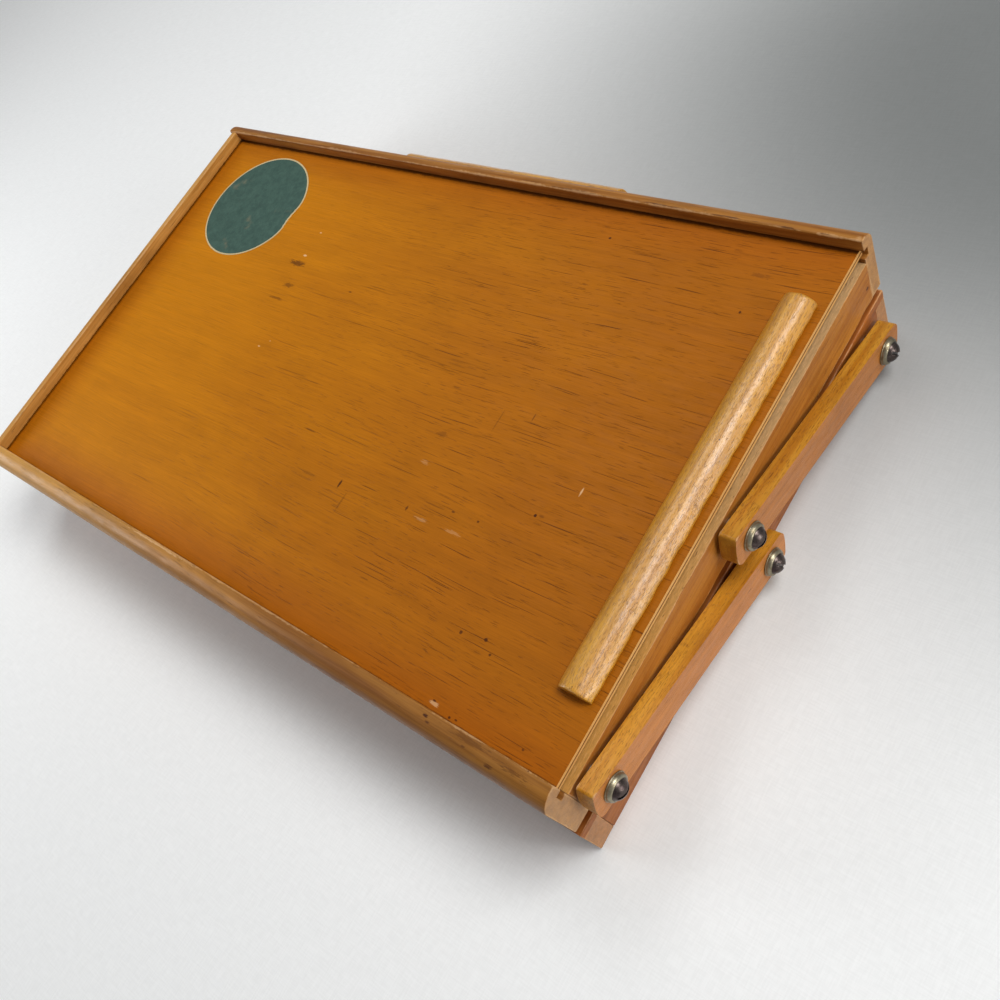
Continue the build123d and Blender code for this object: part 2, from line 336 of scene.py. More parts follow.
def cut_along(axis, start, end, spacing):
    """In edit mode, cut rings across a piece at even steps along an axis."""
    count = max(1, round((end - start) / spacing))
    normal = Vector((0, 0, 0))
    normal[axis] = 1
    for step in range(1, count):
        place = Vector((0, 0, 0))
        place[axis] = start + (end - start) * step / count
        bpy.ops.mesh.select_all(action="SELECT")
        bpy.ops.mesh.bisect(plane_co=place, plane_no=normal)


def dent(piece, low, high, reach, depth, pitch, bare, seed):
    """Press small uneven dents into the arrises of a board, towards its middle."""
    centre = (low + high) / 2
    for vertex in piece.data.vertices:
        gaps = [min(vertex.co[i] - low[i], high[i] - vertex.co[i]) for i in range(3)]
        order = sorted(range(3), key=lambda i: gaps[i])
        second = gaps[order[1]]
        if second > reach:
            continue
        chip = noise.noise(vertex.co / pitch + Vector((seed, 0.0, 0.0)))
        amount = depth * max(0.0, chip - bare) / (1 - bare) * (1 - second / reach)
        for i in order[:2]:
            vertex.co[i] += math.copysign(amount, centre[i] - vertex.co[i])


def softened(node, name, seed, arris, depth, bare=0.1, long_axis=0):
    """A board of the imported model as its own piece, with softened and dented arrises."""
    boards = bpy.context.scene.box_boards
    low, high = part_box(node)
    piece = bpy.data.objects.new(name, frame["nodes"][node].data.copy())
    bpy.context.scene.collection.objects.link(piece)
    activate(piece)
    bpy.ops.mesh.customdata_custom_splitnormals_clear()
    begin_edit(piece)
    bpy.ops.mesh.remove_doubles(threshold=MERGE_DISTANCE)
    bpy.ops.mesh.dissolve_limited(angle_limit=FLAT_ANGLE)
    end_edit()
    apply_modifier(
        piece, "BEVEL", width=arris, segments=2, limit_method="ANGLE", angle_limit=math.radians(40),
    )
    begin_edit(piece)
    cut_along(long_axis, low[long_axis], high[long_axis], boards.dent_spacing)
    end_edit()
    dent(piece, low, high, boards.dent_reach, depth, 3 * boards.dent_spacing, bare, seed)
    smooth(piece)
    return piece


def added(primitive, name, **settings):
    """A primitive that is added alone under a name, with its place in its mesh."""
    bpy.ops.object.select_all(action="DESELECT")
    primitive(**settings)
    piece = bpy.context.object
    piece.name = piece.data.name = name
    bpy.ops.object.transform_apply(location=True, rotation=True, scale=True)
    return piece


def turned(name, outline, sides, bored=False):
    """A turned piece about Z, extruded from a circle through steps of radius and height."""
    (radius, height), steps = outline[0], outline[1:]
    piece = added(
        bpy.ops.mesh.primitive_circle_add, name, vertices=sides, radius=radius, location=(0, 0, height),
        fill_type="NOTHING" if bored else "NGON",
    )
    begin_edit(piece)
    for next_radius, next_height in steps:
        bpy.ops.mesh.extrude_region_move(
            TRANSFORM_OT_translate={"value": (0, 0, next_height - height)},
        )
        ratio = next_radius / radius
        bpy.ops.transform.resize(value=(ratio, ratio, 1), center_override=(0, 0, next_height))
        radius, height = next_radius, next_height
    bpy.ops.mesh.select_all(action="SELECT")
    bpy.ops.mesh.remove_doubles(threshold=MERGE_DISTANCE)
    bpy.ops.mesh.normals_make_consistent(inside=False)
    end_edit()
    return piece


def placed_copy(pattern, name, matrix):
    """A copy with its own mesh, moved to its place in the mesh."""
    copy = pattern.copy()
    copy.data = pattern.data.copy()
    copy.name = copy.data.name = name
    bpy.context.scene.collection.objects.link(copy)
    copy.matrix_world = matrix
    activate(copy)
    bpy.ops.object.transform_apply(location=True, rotation=True, scale=True)
    return copy


def pivot_places():
    """Name, tray, place on the arm's outer face, side and slot turn of each pivot."""
    turns = {
        ("lower", "rear"): (128, 60), ("lower", "front"): (112, 150),
        ("upper", "rear"): (15, 40), ("upper", "front"): (165, 75),
    }
    points = {
        ("lower", "rear"): LOWER_REAR, ("lower", "front"): LOWER_FRONT,
        ("upper", "rear"): UPPER_REAR, ("upper", "front"): UPPER_FRONT,
    }
    for (tray, row), point in points.items():
        for side, side_name, turn in zip((1, -1), ("right", "left"), turns[tray, row]):
            name = f"{tray}_{side_name}_{row}"
            yield name, tray, side, point.y, point.z, math.radians(turn)


def on_end(side, x, y, z, turn):
    """The matrix that stands a turned piece on the box's end, pointing outwards."""
    outward = Vector((side, 0, 0))
    across = Vector((0, side, 0))
    basis = Matrix((across, outward.cross(across), outward)).transposed()
    return Matrix.Translation((side * x, y, z)) @ basis.to_4x4() @ Matrix.Rotation(turn, 4, "Z")


def copy_to_pivots(pattern, part, materials, slot, trays, *nodes):
    """Stand copies of a turned piece on the pivots of some trays, and drop the pattern."""
    for name, tray, side, y, z, turn in pivot_places():
        if tray not in trays:
            continue
        piece = placed_copy(pattern, f"{name}_{part}", on_end(side, ARM_OUTER_X, y, z, turn))
        indices = [face.material_index for face in piece.data.polygons]
        finish_piece(piece, f"{tray}_tray", materials, slot, *(f"{tray}_{node}" for node in nodes))
        for face, index in zip(piece.data.polygons, indices):
            face.material_index = index
    bpy.data.objects.remove(pattern)


# Short ways to build shaders

MIX_FIRST, MIX_SECOND, MIX_RESULT = 6, 7, 2


class Nodes:
    """Adds and joins the nodes of one tree."""

    def __init__(self, tree):
        self.tree = tree

    def feed(self, socket, value):
        if isinstance(value, bpy.types.NodeSocket):
            self.tree.links.new(value, socket)
        elif socket.type == "RGBA":
            socket.default_value = (*value, 1.0) if len(value) == 3 else value
        else:
            socket.default_value = value

    def add(self, kind, inputs=None, **settings):
        node = self.tree.nodes.new(kind)
        for name, value in settings.items():
            setattr(node, name, value)
        for name, value in (inputs or {}).items():
            self.feed(node.inputs[name], value)
        return node

    def maths(self, operation, *values):
        node = self.add("ShaderNodeMath", operation=operation)
        for socket, value in zip(node.inputs, values):
            self.feed(socket, value)
        return node.outputs["Value"]

    def vector(self, operation, *values):
        node = self.add("ShaderNodeVectorMath", operation=operation)
        for socket, value in zip(node.inputs, values):
            self.feed(socket, value)
        return node.outputs["Value" if operation == "LENGTH" else "Vector"]

    def coordinates(self, kind):
        return self.add("ShaderNodeTexCoord").outputs[kind]

    def split(self, vector):
        return self.add("ShaderNodeSeparateXYZ", {"Vector": vector}).outputs

    def join(self, **parts):
        return self.add("ShaderNodeCombineXYZ", parts).outputs["Vector"]

    def remap(self, value, low, high, start=0.0, end=1.0):
        node = self.add(
            "ShaderNodeMapRange",
            {"Value": value, "From Min": low, "From Max": high, "To Min": start, "To Max": end},
            interpolation_type="SMOOTHSTEP",
        )
        return node.outputs["Result"]

    def mix(self, amount, first, second, blend="MIX"):
        node = self.add("ShaderNodeMix", {"Factor": amount}, data_type="RGBA", blend_type=blend)
        self.feed(node.inputs[MIX_FIRST], first)
        self.feed(node.inputs[MIX_SECOND], second)
        return node.outputs[MIX_RESULT]

    def shade(self, colour, level):
        """Multiply a colour by a grey level."""
        grey = self.add("ShaderNodeCombineColor", {"Red": level, "Green": level, "Blue": level})
        return self.mix(1.0, colour, grey.outputs["Color"], "MULTIPLY")

    def lay(self, colour, over, mask, strength, blend="MIX"):
        """Lay a colour over another, as far as a mask and a strength say."""
        return self.mix(self.maths("MULTIPLY", mask, strength), colour, over, blend)

    def noise(self, vector, scale, detail=3.0, roughness=0.55):
        """Noise over a vector, with one scale or a scale for each axis."""
        scale = (scale,) * 3 if isinstance(scale, float) else scale
        stretched = self.vector("MULTIPLY", vector, scale)
        inputs = {"Vector": stretched, "Scale": 1.0, "Detail": detail, "Roughness": roughness}
        return self.add("ShaderNodeTexNoise", inputs).outputs["Fac"]

    def cells(self, vector, scale):
        stretched = self.vector("MULTIPLY", vector, scale)
        node = self.add("ShaderNodeTexVoronoi", {"Vector": stretched, "Scale": 1.0})
        return node.outputs["Distance"], node.outputs["Color"]

    def weigh(self, first, *rest):
        """Add up values, each times its weight."""
        total = self.maths("MULTIPLY", *first)
        for value, weight in rest:
            total = self.maths("MULTIPLY_ADD", value, weight, total)
        return total

    def sideways(self):
        """How far a face looks along X, either way."""
        return self.maths("ABSOLUTE", self.split(self.coordinates("Normal"))["X"])

    def surface(self, shader, colour, roughness, height, depth, specular=0.5):
        """Feed what every material of the box sets, with a bump of a given depth."""
        self.feed(shader.inputs["Base Color"], colour)
        self.feed(shader.inputs["Roughness"], roughness)
        shader.inputs["Specular IOR Level"].default_value = specular
        relief = self.add("ShaderNodeBump", {"Height": height, "Distance": depth})
        self.feed(shader.inputs["Normal"], relief.outputs["Normal"])


def words(name):
    """A name from the code as plain words."""
    return name.replace("_", " ").capitalize()


def new_group(name, inputs, outputs, fill):
    """A shader node group with a vector and other inputs, filled by a function."""
    tree = bpy.data.node_groups.new(name, "ShaderNodeTree")
    for label, default in {"vector": None, **inputs}.items():
        kind = "NodeSocketFloat" if isinstance(default, float) else "NodeSocketVector"
        socket = tree.interface.new_socket(words(label), in_out="INPUT", socket_type=kind)
        if default is not None:
            socket.default_value = default
    for label in outputs:
        tree.interface.new_socket(label, in_out="OUTPUT", socket_type="NodeSocketFloat")
    nodes = Nodes(tree)
    fill(nodes, nodes.add("NodeGroupInput").outputs, nodes.add("NodeGroupOutput").inputs)
    return tree


def shader_group(*outputs, **inputs):
    """Turn what fills a node group into what places it in a material, built only once."""
    def wrap(fill):
        @functools.wraps(fill)
        def place(nodes, vector, **values):
            name = words(fill.__name__)
            tree = bpy.data.node_groups.get(name) or new_group(name, inputs, outputs, fill)
            given = {words(label): value for label, value in {"vector": vector, **values}.items()}
            return nodes.add("ShaderNodeGroup", given, node_tree=tree).outputs
        return place
    return wrap


@shader_group("Streak", "Fibre", "Cloud", streak_width=0.004, fibre_width=0.0005)
def long_grain(nodes, given, made):
    """Streaks, fibres and slow clouds of a board whose grain lies along X."""
    for label, width, stretch, detail in (
        ("Streak", "Streak width", 0.03, 3.0), ("Fibre", "Fibre width", 0.02, 2.0),
    ):
        across = nodes.maths("DIVIDE", 1.0, given[width])
        scale = nodes.join(X=nodes.maths("MULTIPLY", across, stretch), Y=across, Z=across)
        nodes.feed(made[label], nodes.noise(given["Vector"], scale, detail, 0.6))
    nodes.feed(made["Cloud"], nodes.noise(given["Vector"], (16, 40, 40), 2.0))


@shader_group("Pore", length=0.006, width=0.0002, share=0.1)
def open_pores(nodes, given, made):
    """Fine dark pores of uneven length that lie along X, denser in some places than in others."""
    along = nodes.maths("DIVIDE", 0.5, given["Length"])
    across = nodes.maths("DIVIDE", 0.5, given["Width"])
    scale = nodes.join(X=along, Y=across, Z=across)
    body = nodes.noise(given["Vector"], scale, 1.0, 0.4)
    patch = nodes.noise(given["Vector"], (40.0, 140.0, 140.0), 2.0)
    limit = nodes.maths("MULTIPLY_ADD", given["Share"], -0.7, 0.78)
    limit = nodes.maths("MULTIPLY_ADD", nodes.maths("SUBTRACT", patch, 0.5), -0.12, limit)
    above = nodes.maths("DIVIDE", nodes.maths("SUBTRACT", body, limit), 0.045)
    nodes.feed(made["Pore"], nodes.remap(above, 0.0, 1.0))


@shader_group("Wear", low_corner=None, high_corner=None, width=0.001)
def worn_edges(nodes, given, made):
    """How far the varnish has rubbed off along the arrises of a board between two corners."""
    above = nodes.vector("SUBTRACT", given["Vector"], given["Low corner"])
    below = nodes.vector("SUBTRACT", given["High corner"], given["Vector"])
    gap = nodes.split(nodes.vector("MINIMUM", above, below))
    least = nodes.maths("MINIMUM", nodes.maths("MINIMUM", gap["X"], gap["Y"]), gap["Z"])
    most = nodes.maths("MAXIMUM", nodes.maths("MAXIMUM", gap["X"], gap["Y"]), gap["Z"])
    total = nodes.maths("ADD", nodes.maths("ADD", gap["X"], gap["Y"]), gap["Z"])
    second = nodes.maths("SUBTRACT", nodes.maths("SUBTRACT", total, least), most)
    ragged = nodes.noise(given["Vector"], 700.0, 4.0, 0.7)
    patchy = nodes.noise(given["Vector"], 70.0, 2.0)
    reach = nodes.maths("MULTIPLY", given["Width"], nodes.remap(patchy, 0.3, 0.7, 0.3, 1.7))
    drawn = nodes.maths("DIVIDE", second, reach)
    frayed = nodes.maths("ADD", drawn, nodes.maths("MULTIPLY_ADD", ragged, 1.8, -0.9))
    nodes.feed(made["Wear"], nodes.remap(frayed, 0.35, 0.95, 1.0, 0.0))


@shader_group("Dirt", "Nearness", width=0.0014, reach=0.022)
def lid_line(nodes, given, made):
    """Painted shade, with some real dirt, along the gap where the lid meets the rails, widest at the rear rail;
    and how near those rails are.
    """
    at = nodes.split(given["Vector"])
    from_front = nodes.maths("SUBTRACT", at["Y"], FRONT_INNER)
    from_rear = nodes.maths("SUBTRACT", REAR_INNER, at["Y"])
    from_closed = nodes.maths("SUBTRACT", at["X"], CLOSED_INNER)
    nearest = nodes.maths("MINIMUM", nodes.maths("MINIMUM", from_front, from_rear), from_closed)
    # The painted shade is narrower along the front rail and the closed end, and widest along the rear rail.
    cleaner = nodes.maths("ABSOLUTE", nodes.maths("MINIMUM", from_front, from_closed))
    dirtiest = nodes.maths("MINIMUM", nodes.maths("MULTIPLY_ADD", cleaner, 2.0, 0.0004), from_rear)
    height = nodes.maths("SUBTRACT", at["Z"], LID_HIGH.z)
    distance = nodes.vector("LENGTH", nodes.join(X=dirtiest, Y=height))
    ragged = nodes.noise(given["Vector"], (260.0, 500.0, 500.0), 4.0, 0.7)
    spread = nodes.maths("MULTIPLY", given["Width"], nodes.maths("MULTIPLY_ADD", ragged, 2.4, -0.3))
    share_of_width = nodes.maths("DIVIDE", distance, nodes.maths("MAXIMUM", spread, 0.0001))
    nodes.feed(made["Dirt"], nodes.remap(share_of_width, 0.25, 1.0, 1.0, 0.0))
    nodes.feed(made["Nearness"], nodes.remap(nearest, 0.0, given["Reach"], 1.0, 0.0))


@shader_group("Grime", "Speck", "Polish", speck_share=0.1)
def handled_surface(nodes, given, made):
    """Slow grime, small dark specks and uneven polish of a varnished surface."""
    broad = nodes.noise(given["Vector"], 35.0, 5.0, 0.65)
    nodes.feed(made["Grime"], nodes.remap(broad, 0.45, 0.8))
    distance, colour = nodes.cells(given["Vector"], (95.0, 120.0, 120.0))
    chance = nodes.add("ShaderNodeSeparateColor", {"Color": colour}).outputs
    size = nodes.maths("MULTIPLY_ADD", chance["Green"], 0.03, 0.012)
    ragged = nodes.noise(given["Vector"], 1500.0, 2.0)
    spot = nodes.maths("LESS_THAN", nodes.maths("MULTIPLY_ADD", ragged, 0.02, distance), size)
    nodes.feed(made["Speck"], nodes.maths(
        "MULTIPLY", spot, nodes.maths("LESS_THAN", chance["Blue"], given["Speck share"])))
    nodes.feed(made["Polish"], nodes.noise(given["Vector"], (120, 420, 420), 3.0))


@shader_group(
    "Cross ply", "Glue line", "Edge", normal=None, base=0.0, thickness=0.003, half_core=0.16)
def ply_edge(nodes, given, made):
    """Bands of plies over the height of a sheet's edge."""
    level = nodes.split(given["Vector"])["Z"]
    upright = nodes.split(given["Normal"])["Z"]
    third = nodes.maths("DIVIDE", nodes.maths("SUBTRACT", level, given["Base"]), given["Thickness"])
    fray = nodes.noise(given["Vector"], (300.0, 300.0, 900.0), 2.0)
    height = nodes.maths("ADD", third, nodes.maths("MULTIPLY_ADD", fray, 0.08, -0.04))
    off_middle = nodes.maths("ABSOLUTE", nodes.maths("SUBTRACT", height, 0.5))
    from_glue = nodes.maths("SUBTRACT", off_middle, given["Half core"])
    nodes.feed(made["Cross ply"], nodes.remap(from_glue, -0.02, 0.02, 1.0, 0.0))
    nodes.feed(made["Glue line"], nodes.remap(nodes.maths("ABSOLUTE", from_glue), 0.01, 0.04, 1.0, 0.0))
    nodes.feed(made["Edge"], nodes.remap(nodes.maths("ABSOLUTE", upright), 0.4, 0.7, 1.0, 0.0))


@shader_group("Mark", centre=None, half_size=(0.001,) * 3, fray=0.5)
def small_mark(nodes, given, made):
    """A soft frayed mark of a given half size round a point."""
    away = nodes.vector("SUBTRACT", given["Vector"], given["Centre"])
    distance = nodes.vector("LENGTH", nodes.vector("DIVIDE", away, given["Half size"]))
    ragged = nodes.noise(given["Vector"], (350.0, 2400.0, 350.0), 3.0, 0.7)
    frayed = nodes.maths("ADD", distance, nodes.maths(
        "MULTIPLY", nodes.maths("SUBTRACT", ragged, 0.5), nodes.maths("MULTIPLY", given["Fray"], 4.0)))
    nodes.feed(made["Mark"], nodes.remap(frayed, 0.55, 1.05, 1.0, 0.0))


def new_material(name):
    """A material with its Principled shader, and what builds and joins in it."""
    material = bpy.data.materials.new(name)
    material.use_nodes = True
    nodes = Nodes(material.node_tree)
    shader = material.node_tree.nodes["Principled BSDF"]
    return material, nodes, shader


def grained(nodes, turn, offset):
    """Object coordinates, and the same turned so that the grain lies along X and wanders a little."""
    place = nodes.coordinates("Object")
    turned_place = nodes.add("ShaderNodeMapping", {"Vector": place, "Rotation": turn, "Location": offset})
    lying = turned_place.outputs["Vector"]
    slow = nodes.noise(lying, (8.0, 14.0, 14.0), 1.0)
    bend = nodes.join(Y=nodes.maths("MULTIPLY", slow, bpy.context.scene.box_boards.wander))
    return place, nodes.vector("ADD", lying, bend)


# Marks left by use, in millimetres: tone, place, half size, strength and fray.
# A half size of two numbers reaches MARK_DEPTH up and down.
MILLIMETRE = 0.001
LID_TOP = 46.0
MARK_DEPTH = 1.0
LID_MARKS = (
    ("pore", -65.2, 38.1, 5.2, 1.6, 0.7, 0.75),
    ("pore", -61.6, 27.0, 3.0, 1.3, 0.55, 0.8),
    ("pore", -63.1, 19.6, 5.0, 0.7, 0.45, 0.8),
    ("worn", -63.9, 42.6, 1.3, 0.6, 1.0, 0.2),
    ("worn", -64.2, 55.2, 0.7, 0.4, 0.8, 0.2),
    ("worn", -53.7, -3.4, 0.9, 0.4, 0.7, 0.2),
    ("worn", -49.7, 0.4, 0.5, 0.3, 0.6, 0.2),
    ("pore", -26.1, 32.1, 1.0, 0.4, 0.7, 0.3),
    ("pore", 0.5, -27.8, 4.2, 0.3, 0.6, 0.3),
    ("pore", 29.2, -41.7, 0.6, 2.0, 0.9, 0.3),
    ("pore", 34.5, -47.8, 0.5, 4.5, 0.35, 0.5),
    ("pore", 57.2, -10.3, 3.0, 1.2, 0.35, 0.8),
    ("pore", 71.0, -34.8, 6.0, 0.3, 0.4, 0.4),
    ("pore", 75.3, 1.6, 0.3, 5.2, 0.35, 0.3),
    ("pore", 87.5, 6.8, 0.3, 1.9, 0.6, 0.2),
    ("pore", 108.7, -24.4, 0.7, 0.7, 1.0, 0.2),
    ("pore", 111.0, -24.0, 1.2, 0.6, 0.4, 0.6),
    ("worn", 119.0, -11.5, 0.4, 1.9, 0.8, 0.3),
    ("pore", 90.8, -33.8, 0.6, 0.5, 0.8, 0.3),
    ("pore", 79.9, -34.2, 0.9, 0.4, 0.7, 0.4),
    ("pore", 62.0, -39.6, 0.5, 1.0, 0.7, 0.4),
    ("worn", 70.0, -41.1, 3.0, 0.7, 0.25, 0.7),
    ("worn", 84.4, -40.7, 3.4, 0.7, 0.22, 0.7),
    ("worn", 57.7, -22.2, 2.2, 0.9, 0.2, 0.8),
    ("pore", 73.6, 81.8, 0.7, 0.6, 0.9, 0.2),
    ("pore", 117.0, -66.4, 0.8, 0.8, 0.9, 0.3),
    ("pore", 107.7, -67.9, 0.7, 0.7, 0.8, 0.3),
    ("pore", 121.0, -69.8, 0.6, 0.6, 0.8, 0.3),
    ("pore", 135.3, 64.3, 0.6, 0.6, 0.9, 0.3),
    ("pore", 135.2, 79.1, 3.6, 1.0, 0.35, 0.9),
    ("worn", 113.0, -90.5, 2.2, 0.8, 0.6, 0.6),
    ("pore", 112.5, -89.7, 0.9, 0.4, 0.9, 0.3),
    ("pore", 120.1, -91.7, 0.6, 0.5, 0.9, 0.3),
    ("pore", 122.5, -91.4, 0.7, 0.4, 0.8, 0.3),
    ("pore", 146.6, -88.7, 0.5, 0.5, 0.7, 0.3),
)
MARKS = {
    "lid_panel": tuple(
        (tone_name, (x, y, LID_TOP), (half_x, half_y), strength, fray)
        for tone_name, x, y, half_x, half_y, strength, fray in LID_MARKS
    ),
    "upper_front_rail": (
        ("pore", (116.1, -94.8, 51.3), (1.3, 0.6), 1.0, 0.5),
        ("pore", (117.8, -96.2, 51.1), (1.2, 0.4), 0.8, 0.5),
        ("pore", (142.3, -97.5, 50.4), (1.8, 0.9), 0.8, 0.7),
        ("pore", (150.0, -95.5, 51.0), (6.0, 1.0), 0.5, 0.9),
        ("pore", (132.3, -96.6, 50.8), (1.0, 0.5), 0.6, 0.5),
        ("pore", (134.0, -94.5, 51.3), (8.0, 1.2), 0.4, 0.9),
        ("worn", (-30.0, -93.6, 51.4), (20.0, 0.4), 0.6, 0.9),
    ),
    "upper_rear_rail": (
        ("pore", (115.0, 95.3, 51.4), (6.0, 0.3), 0.8, 0.8),
        ("pore", (138.0, 95.1, 51.4), (4.0, 0.3), 0.7, 0.8),
        ("pore", (150.6, 95.1, 51.4), (2.2, 0.2), 0.6, 0.6),
        ("pore", (90.0, 95.3, 51.4), (10.0, 0.3), 0.6, 0.9),
        ("pore", (50.0, 95.3, 51.4), (12.0, 0.3), 0.5, 0.9),
        ("worn", (161.5, 95.5, 51.5), (1.2, 1.2), 0.3, 0.7),
        ("pore", (163.0, 95.0, 46.0), (0.6, 2.2, 1.3), 0.9, 0.3),
    ),
    "upper_open_end": (
        ("pore", (163.0, 92.5, 31.3), (0.8, 1.0, 0.7), 0.9, 0.5),
        ("pore", (160.5, 67.2, 41.2), (1.2, 0.2), 0.9, 0.3),
        ("pore", (160.4, 50.2, 41.2), (1.4, 0.2), 0.9, 0.3),
        ("pore", (160.0, 5.0, 41.2), (1.0, 3.0), 0.5, 0.8),
        ("pore", (159.0, -30.0, 41.2), (0.8, 5.0), 0.5, 0.9),
    ),
}


def marked(nodes, place, colour, node):
    """Lay the marks of a board over its colour."""
    boards = bpy.context.scene.box_boards
    for tone_name, centre, half_size, strength, fray in MARKS.get(node, ()):
        mark = small_mark(
            nodes, place, centre=Vector(centre) * MILLIMETRE,
            half_size=Vector((*half_size, MARK_DEPTH)[:3]) * MILLIMETRE, fray=fray,
        )
        colour = nodes.lay(colour, getattr(boards, tone_name), mark["Mark"], strength)
    return colour


def board_material(name, node, turn, tones, offset, wear):
    """Varnished solid wood: streaks, pores, worn arrises, painted shade and dirt by the lid, handling marks, and
    on the front rail painted light and shade along its length.
    """
    boards = bpy.context.scene.box_boards
    light, dark = (getattr(boards, tone_name) for tone_name in tones)
    low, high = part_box(node)
    material, nodes, shader = new_material(name)
    place, lying = grained(nodes, turn, offset)
    grain = long_grain(nodes, lying, streak_width=0.0018, fibre_width=0.0003)
    pores = open_pores(nodes, lying, length=0.0035, width=0.00018, share=0.1)
    worn = worn_edges(nodes, place, low_corner=low, high_corner=high, width=boards.wear_width * wear)
    handled = handled_surface(nodes, place, speck_share=0.2)
    gap = lid_line(nodes, place, width=boards.dirt_width, reach=boards.border_reach)
    colour = nodes.mix(nodes.remap(grain["Streak"], 0.3, 0.7), dark, light)
    # Painted light and shade on the front rail: painted paler towards the closed end, where more light falls, and
    # painted darker towards the open end.
    if node == "upper_front_rail":
        x = nodes.split(place)["X"]
        pale = nodes.shade(boards.nosing, nodes.remap(grain["Streak"], 0.3, 0.7, 0.85, 1.05))
        colour = nodes.mix(nodes.remap(x, -0.17, 0.09, 1.0, 0.0), colour, pale)
        colour = nodes.shade(colour, nodes.remap(x, 0.0, 0.13, 1.0, 0.8))
    if turn == ALONG_X:
        end_grain = nodes.remap(nodes.sideways(), 0.7, 0.95, 0.0, 0.3)
        colour = nodes.mix(end_grain, colour, boards.worn)
    colour = nodes.shade(colour, nodes.remap(grain["Fibre"], 0.25, 0.75, 0.88, 1.08))
    colour = nodes.shade(colour, nodes.remap(grain["Cloud"], 0.3, 0.7, 0.92, 1.05))
    colour = nodes.lay(colour, boards.pore, handled["Grime"], 0.3, "MULTIPLY")
    colour = nodes.lay(colour, boards.worn, worn["Wear"], 0.4)
    colour = nodes.lay(colour, boards.pore, pores["Pore"], 0.5)
    # Painted shade, with some dirt, on the rail along the gap where it meets the lid.
    colour = nodes.lay(colour, boards.pore, gap["Dirt"], 0.85)
    colour = marked(nodes, place, colour, node)
    colour = nodes.mix(handled["Speck"], colour, boards.pore)
    if node == "upper_open_end":
        colour = bare_top(nodes, place, colour)
    rough = nodes.remap(handled["Polish"], 0.3, 0.7, 0.34, 0.48)
    rough = nodes.maths("MULTIPLY_ADD", worn["Wear"], 0.2, rough)
    relief = nodes.weigh((grain["Fibre"], 0.35), (pores["Pore"], -1.0), (handled["Polish"], 0.5))
    nodes.surface(shader, colour, rough, relief, depth=0.00006, specular=0.22)
    return material


def bare_top(nodes, place, colour):
    """The rough bare top that the lid slides over, on the low end wall."""
    boards = bpy.context.scene.box_boards
    upright = nodes.split(nodes.coordinates("Normal"))["Z"]
    y = nodes.split(place)["Y"]
    bare = nodes.mix(nodes.remap(y, -0.06, 0.05), boards.bare_front, boards.bare)
    torn = nodes.noise(place, (2600.0, 420.0, 600.0), 4.0, 0.7)
    split = nodes.noise(place, (1100.0, 180.0, 300.0), 3.0, 0.7)
    rough = nodes.shade(bare, nodes.remap(torn, 0.3, 0.7, 0.8, 1.1))
    rough = nodes.mix(nodes.remap(torn, 0.6, 0.68, 0.0, 0.5), rough, boards.worn)
    rough = nodes.mix(nodes.remap(split, 0.64, 0.69, 0.0, 0.6), rough, boards.pore)
    return nodes.mix(nodes.remap(upright, 0.75, 0.95), colour, rough)


def lid_material():
    """Varnished plywood, golden at the closed end, where a painted sheen is part of its colour, and more brown at
    the open one.
    """
    boards = bpy.context.scene.box_boards
    material, nodes, shader = new_material("Lid plywood")
    place, lying = grained(nodes, ALONG_X, (0.0, 0.0, 0.0))
    x = nodes.split(place)["X"]
    normal = nodes.coordinates("Normal")
    grain = long_grain(nodes, lying, streak_width=0.0050, fibre_width=0.0004)
    long_pores = open_pores(nodes, lying, length=0.0130, width=0.00018, share=0.13)
    short_pores = open_pores(nodes, lying, length=0.0030, width=0.00016, share=0.16)
    handled = handled_surface(nodes, place, speck_share=0.25)
    gap = lid_line(nodes, place, width=boards.dirt_width, reach=boards.border_reach)
    plies = ply_edge(
        nodes, place, normal=normal, base=LID_LOW.z, thickness=LID_HIGH.z - LID_LOW.z, half_core=0.07,
    )
    # Painted sheen: the colour runs from lighter golden at the closed end, partly a painted sheen, to more brown
    # at the open end.
    cloudy = nodes.maths("MULTIPLY_ADD", grain["Cloud"], 0.16, -0.08)
    browner = nodes.remap(nodes.maths("ADD", x, cloudy), -0.15, 0.14)
    colour = nodes.mix(browner, boards.lid_left, boards.lid_right)
    # The lid is painted darker and warmer near the rails.
    colour = nodes.lay(colour, boards.lid_border, gap["Nearness"], 0.6)
    colour = nodes.shade(colour, nodes.remap(grain["Streak"], 0.25, 0.75, 0.94, 1.05))
    colour = nodes.shade(colour, nodes.remap(grain["Fibre"], 0.25, 0.75, 0.9, 1.08))
    colour = nodes.lay(colour, boards.pore, handled["Grime"], 0.12, "MULTIPLY")
    right_share = nodes.remap(x, -0.14, 0.08, 0.2, 1.0)
    pore = nodes.maths("MAXIMUM", long_pores["Pore"], nodes.maths("MULTIPLY", short_pores["Pore"], 0.6))
    pore = nodes.maths("MULTIPLY", pore, right_share)
    colour = nodes.lay(colour, boards.pore, pore, 0.7)
    colour = nodes.mix(handled["Speck"], colour, boards.pore)
    colour = marked(nodes, place, colour, "lid_panel")
    # Painted shade, with some dirt, along the gap where the lid meets the rails.
    colour = nodes.lay(colour, boards.pore, gap["Dirt"], 0.8)
    edge = nodes.mix(plies["Cross ply"], boards.ply_light, boards.ply_dark)
    edge = nodes.mix(plies["Glue line"], edge, boards.pore)
    colour = nodes.mix(plies["Edge"], colour, edge)
    rough = nodes.remap(handled["Polish"], 0.3, 0.7, 0.42, 0.54)
    relief = nodes.weigh((grain["Fibre"], 0.2), (pore, -1.0))
    nodes.surface(shader, colour, rough, relief, depth=0.00005, specular=0.1)
    return material


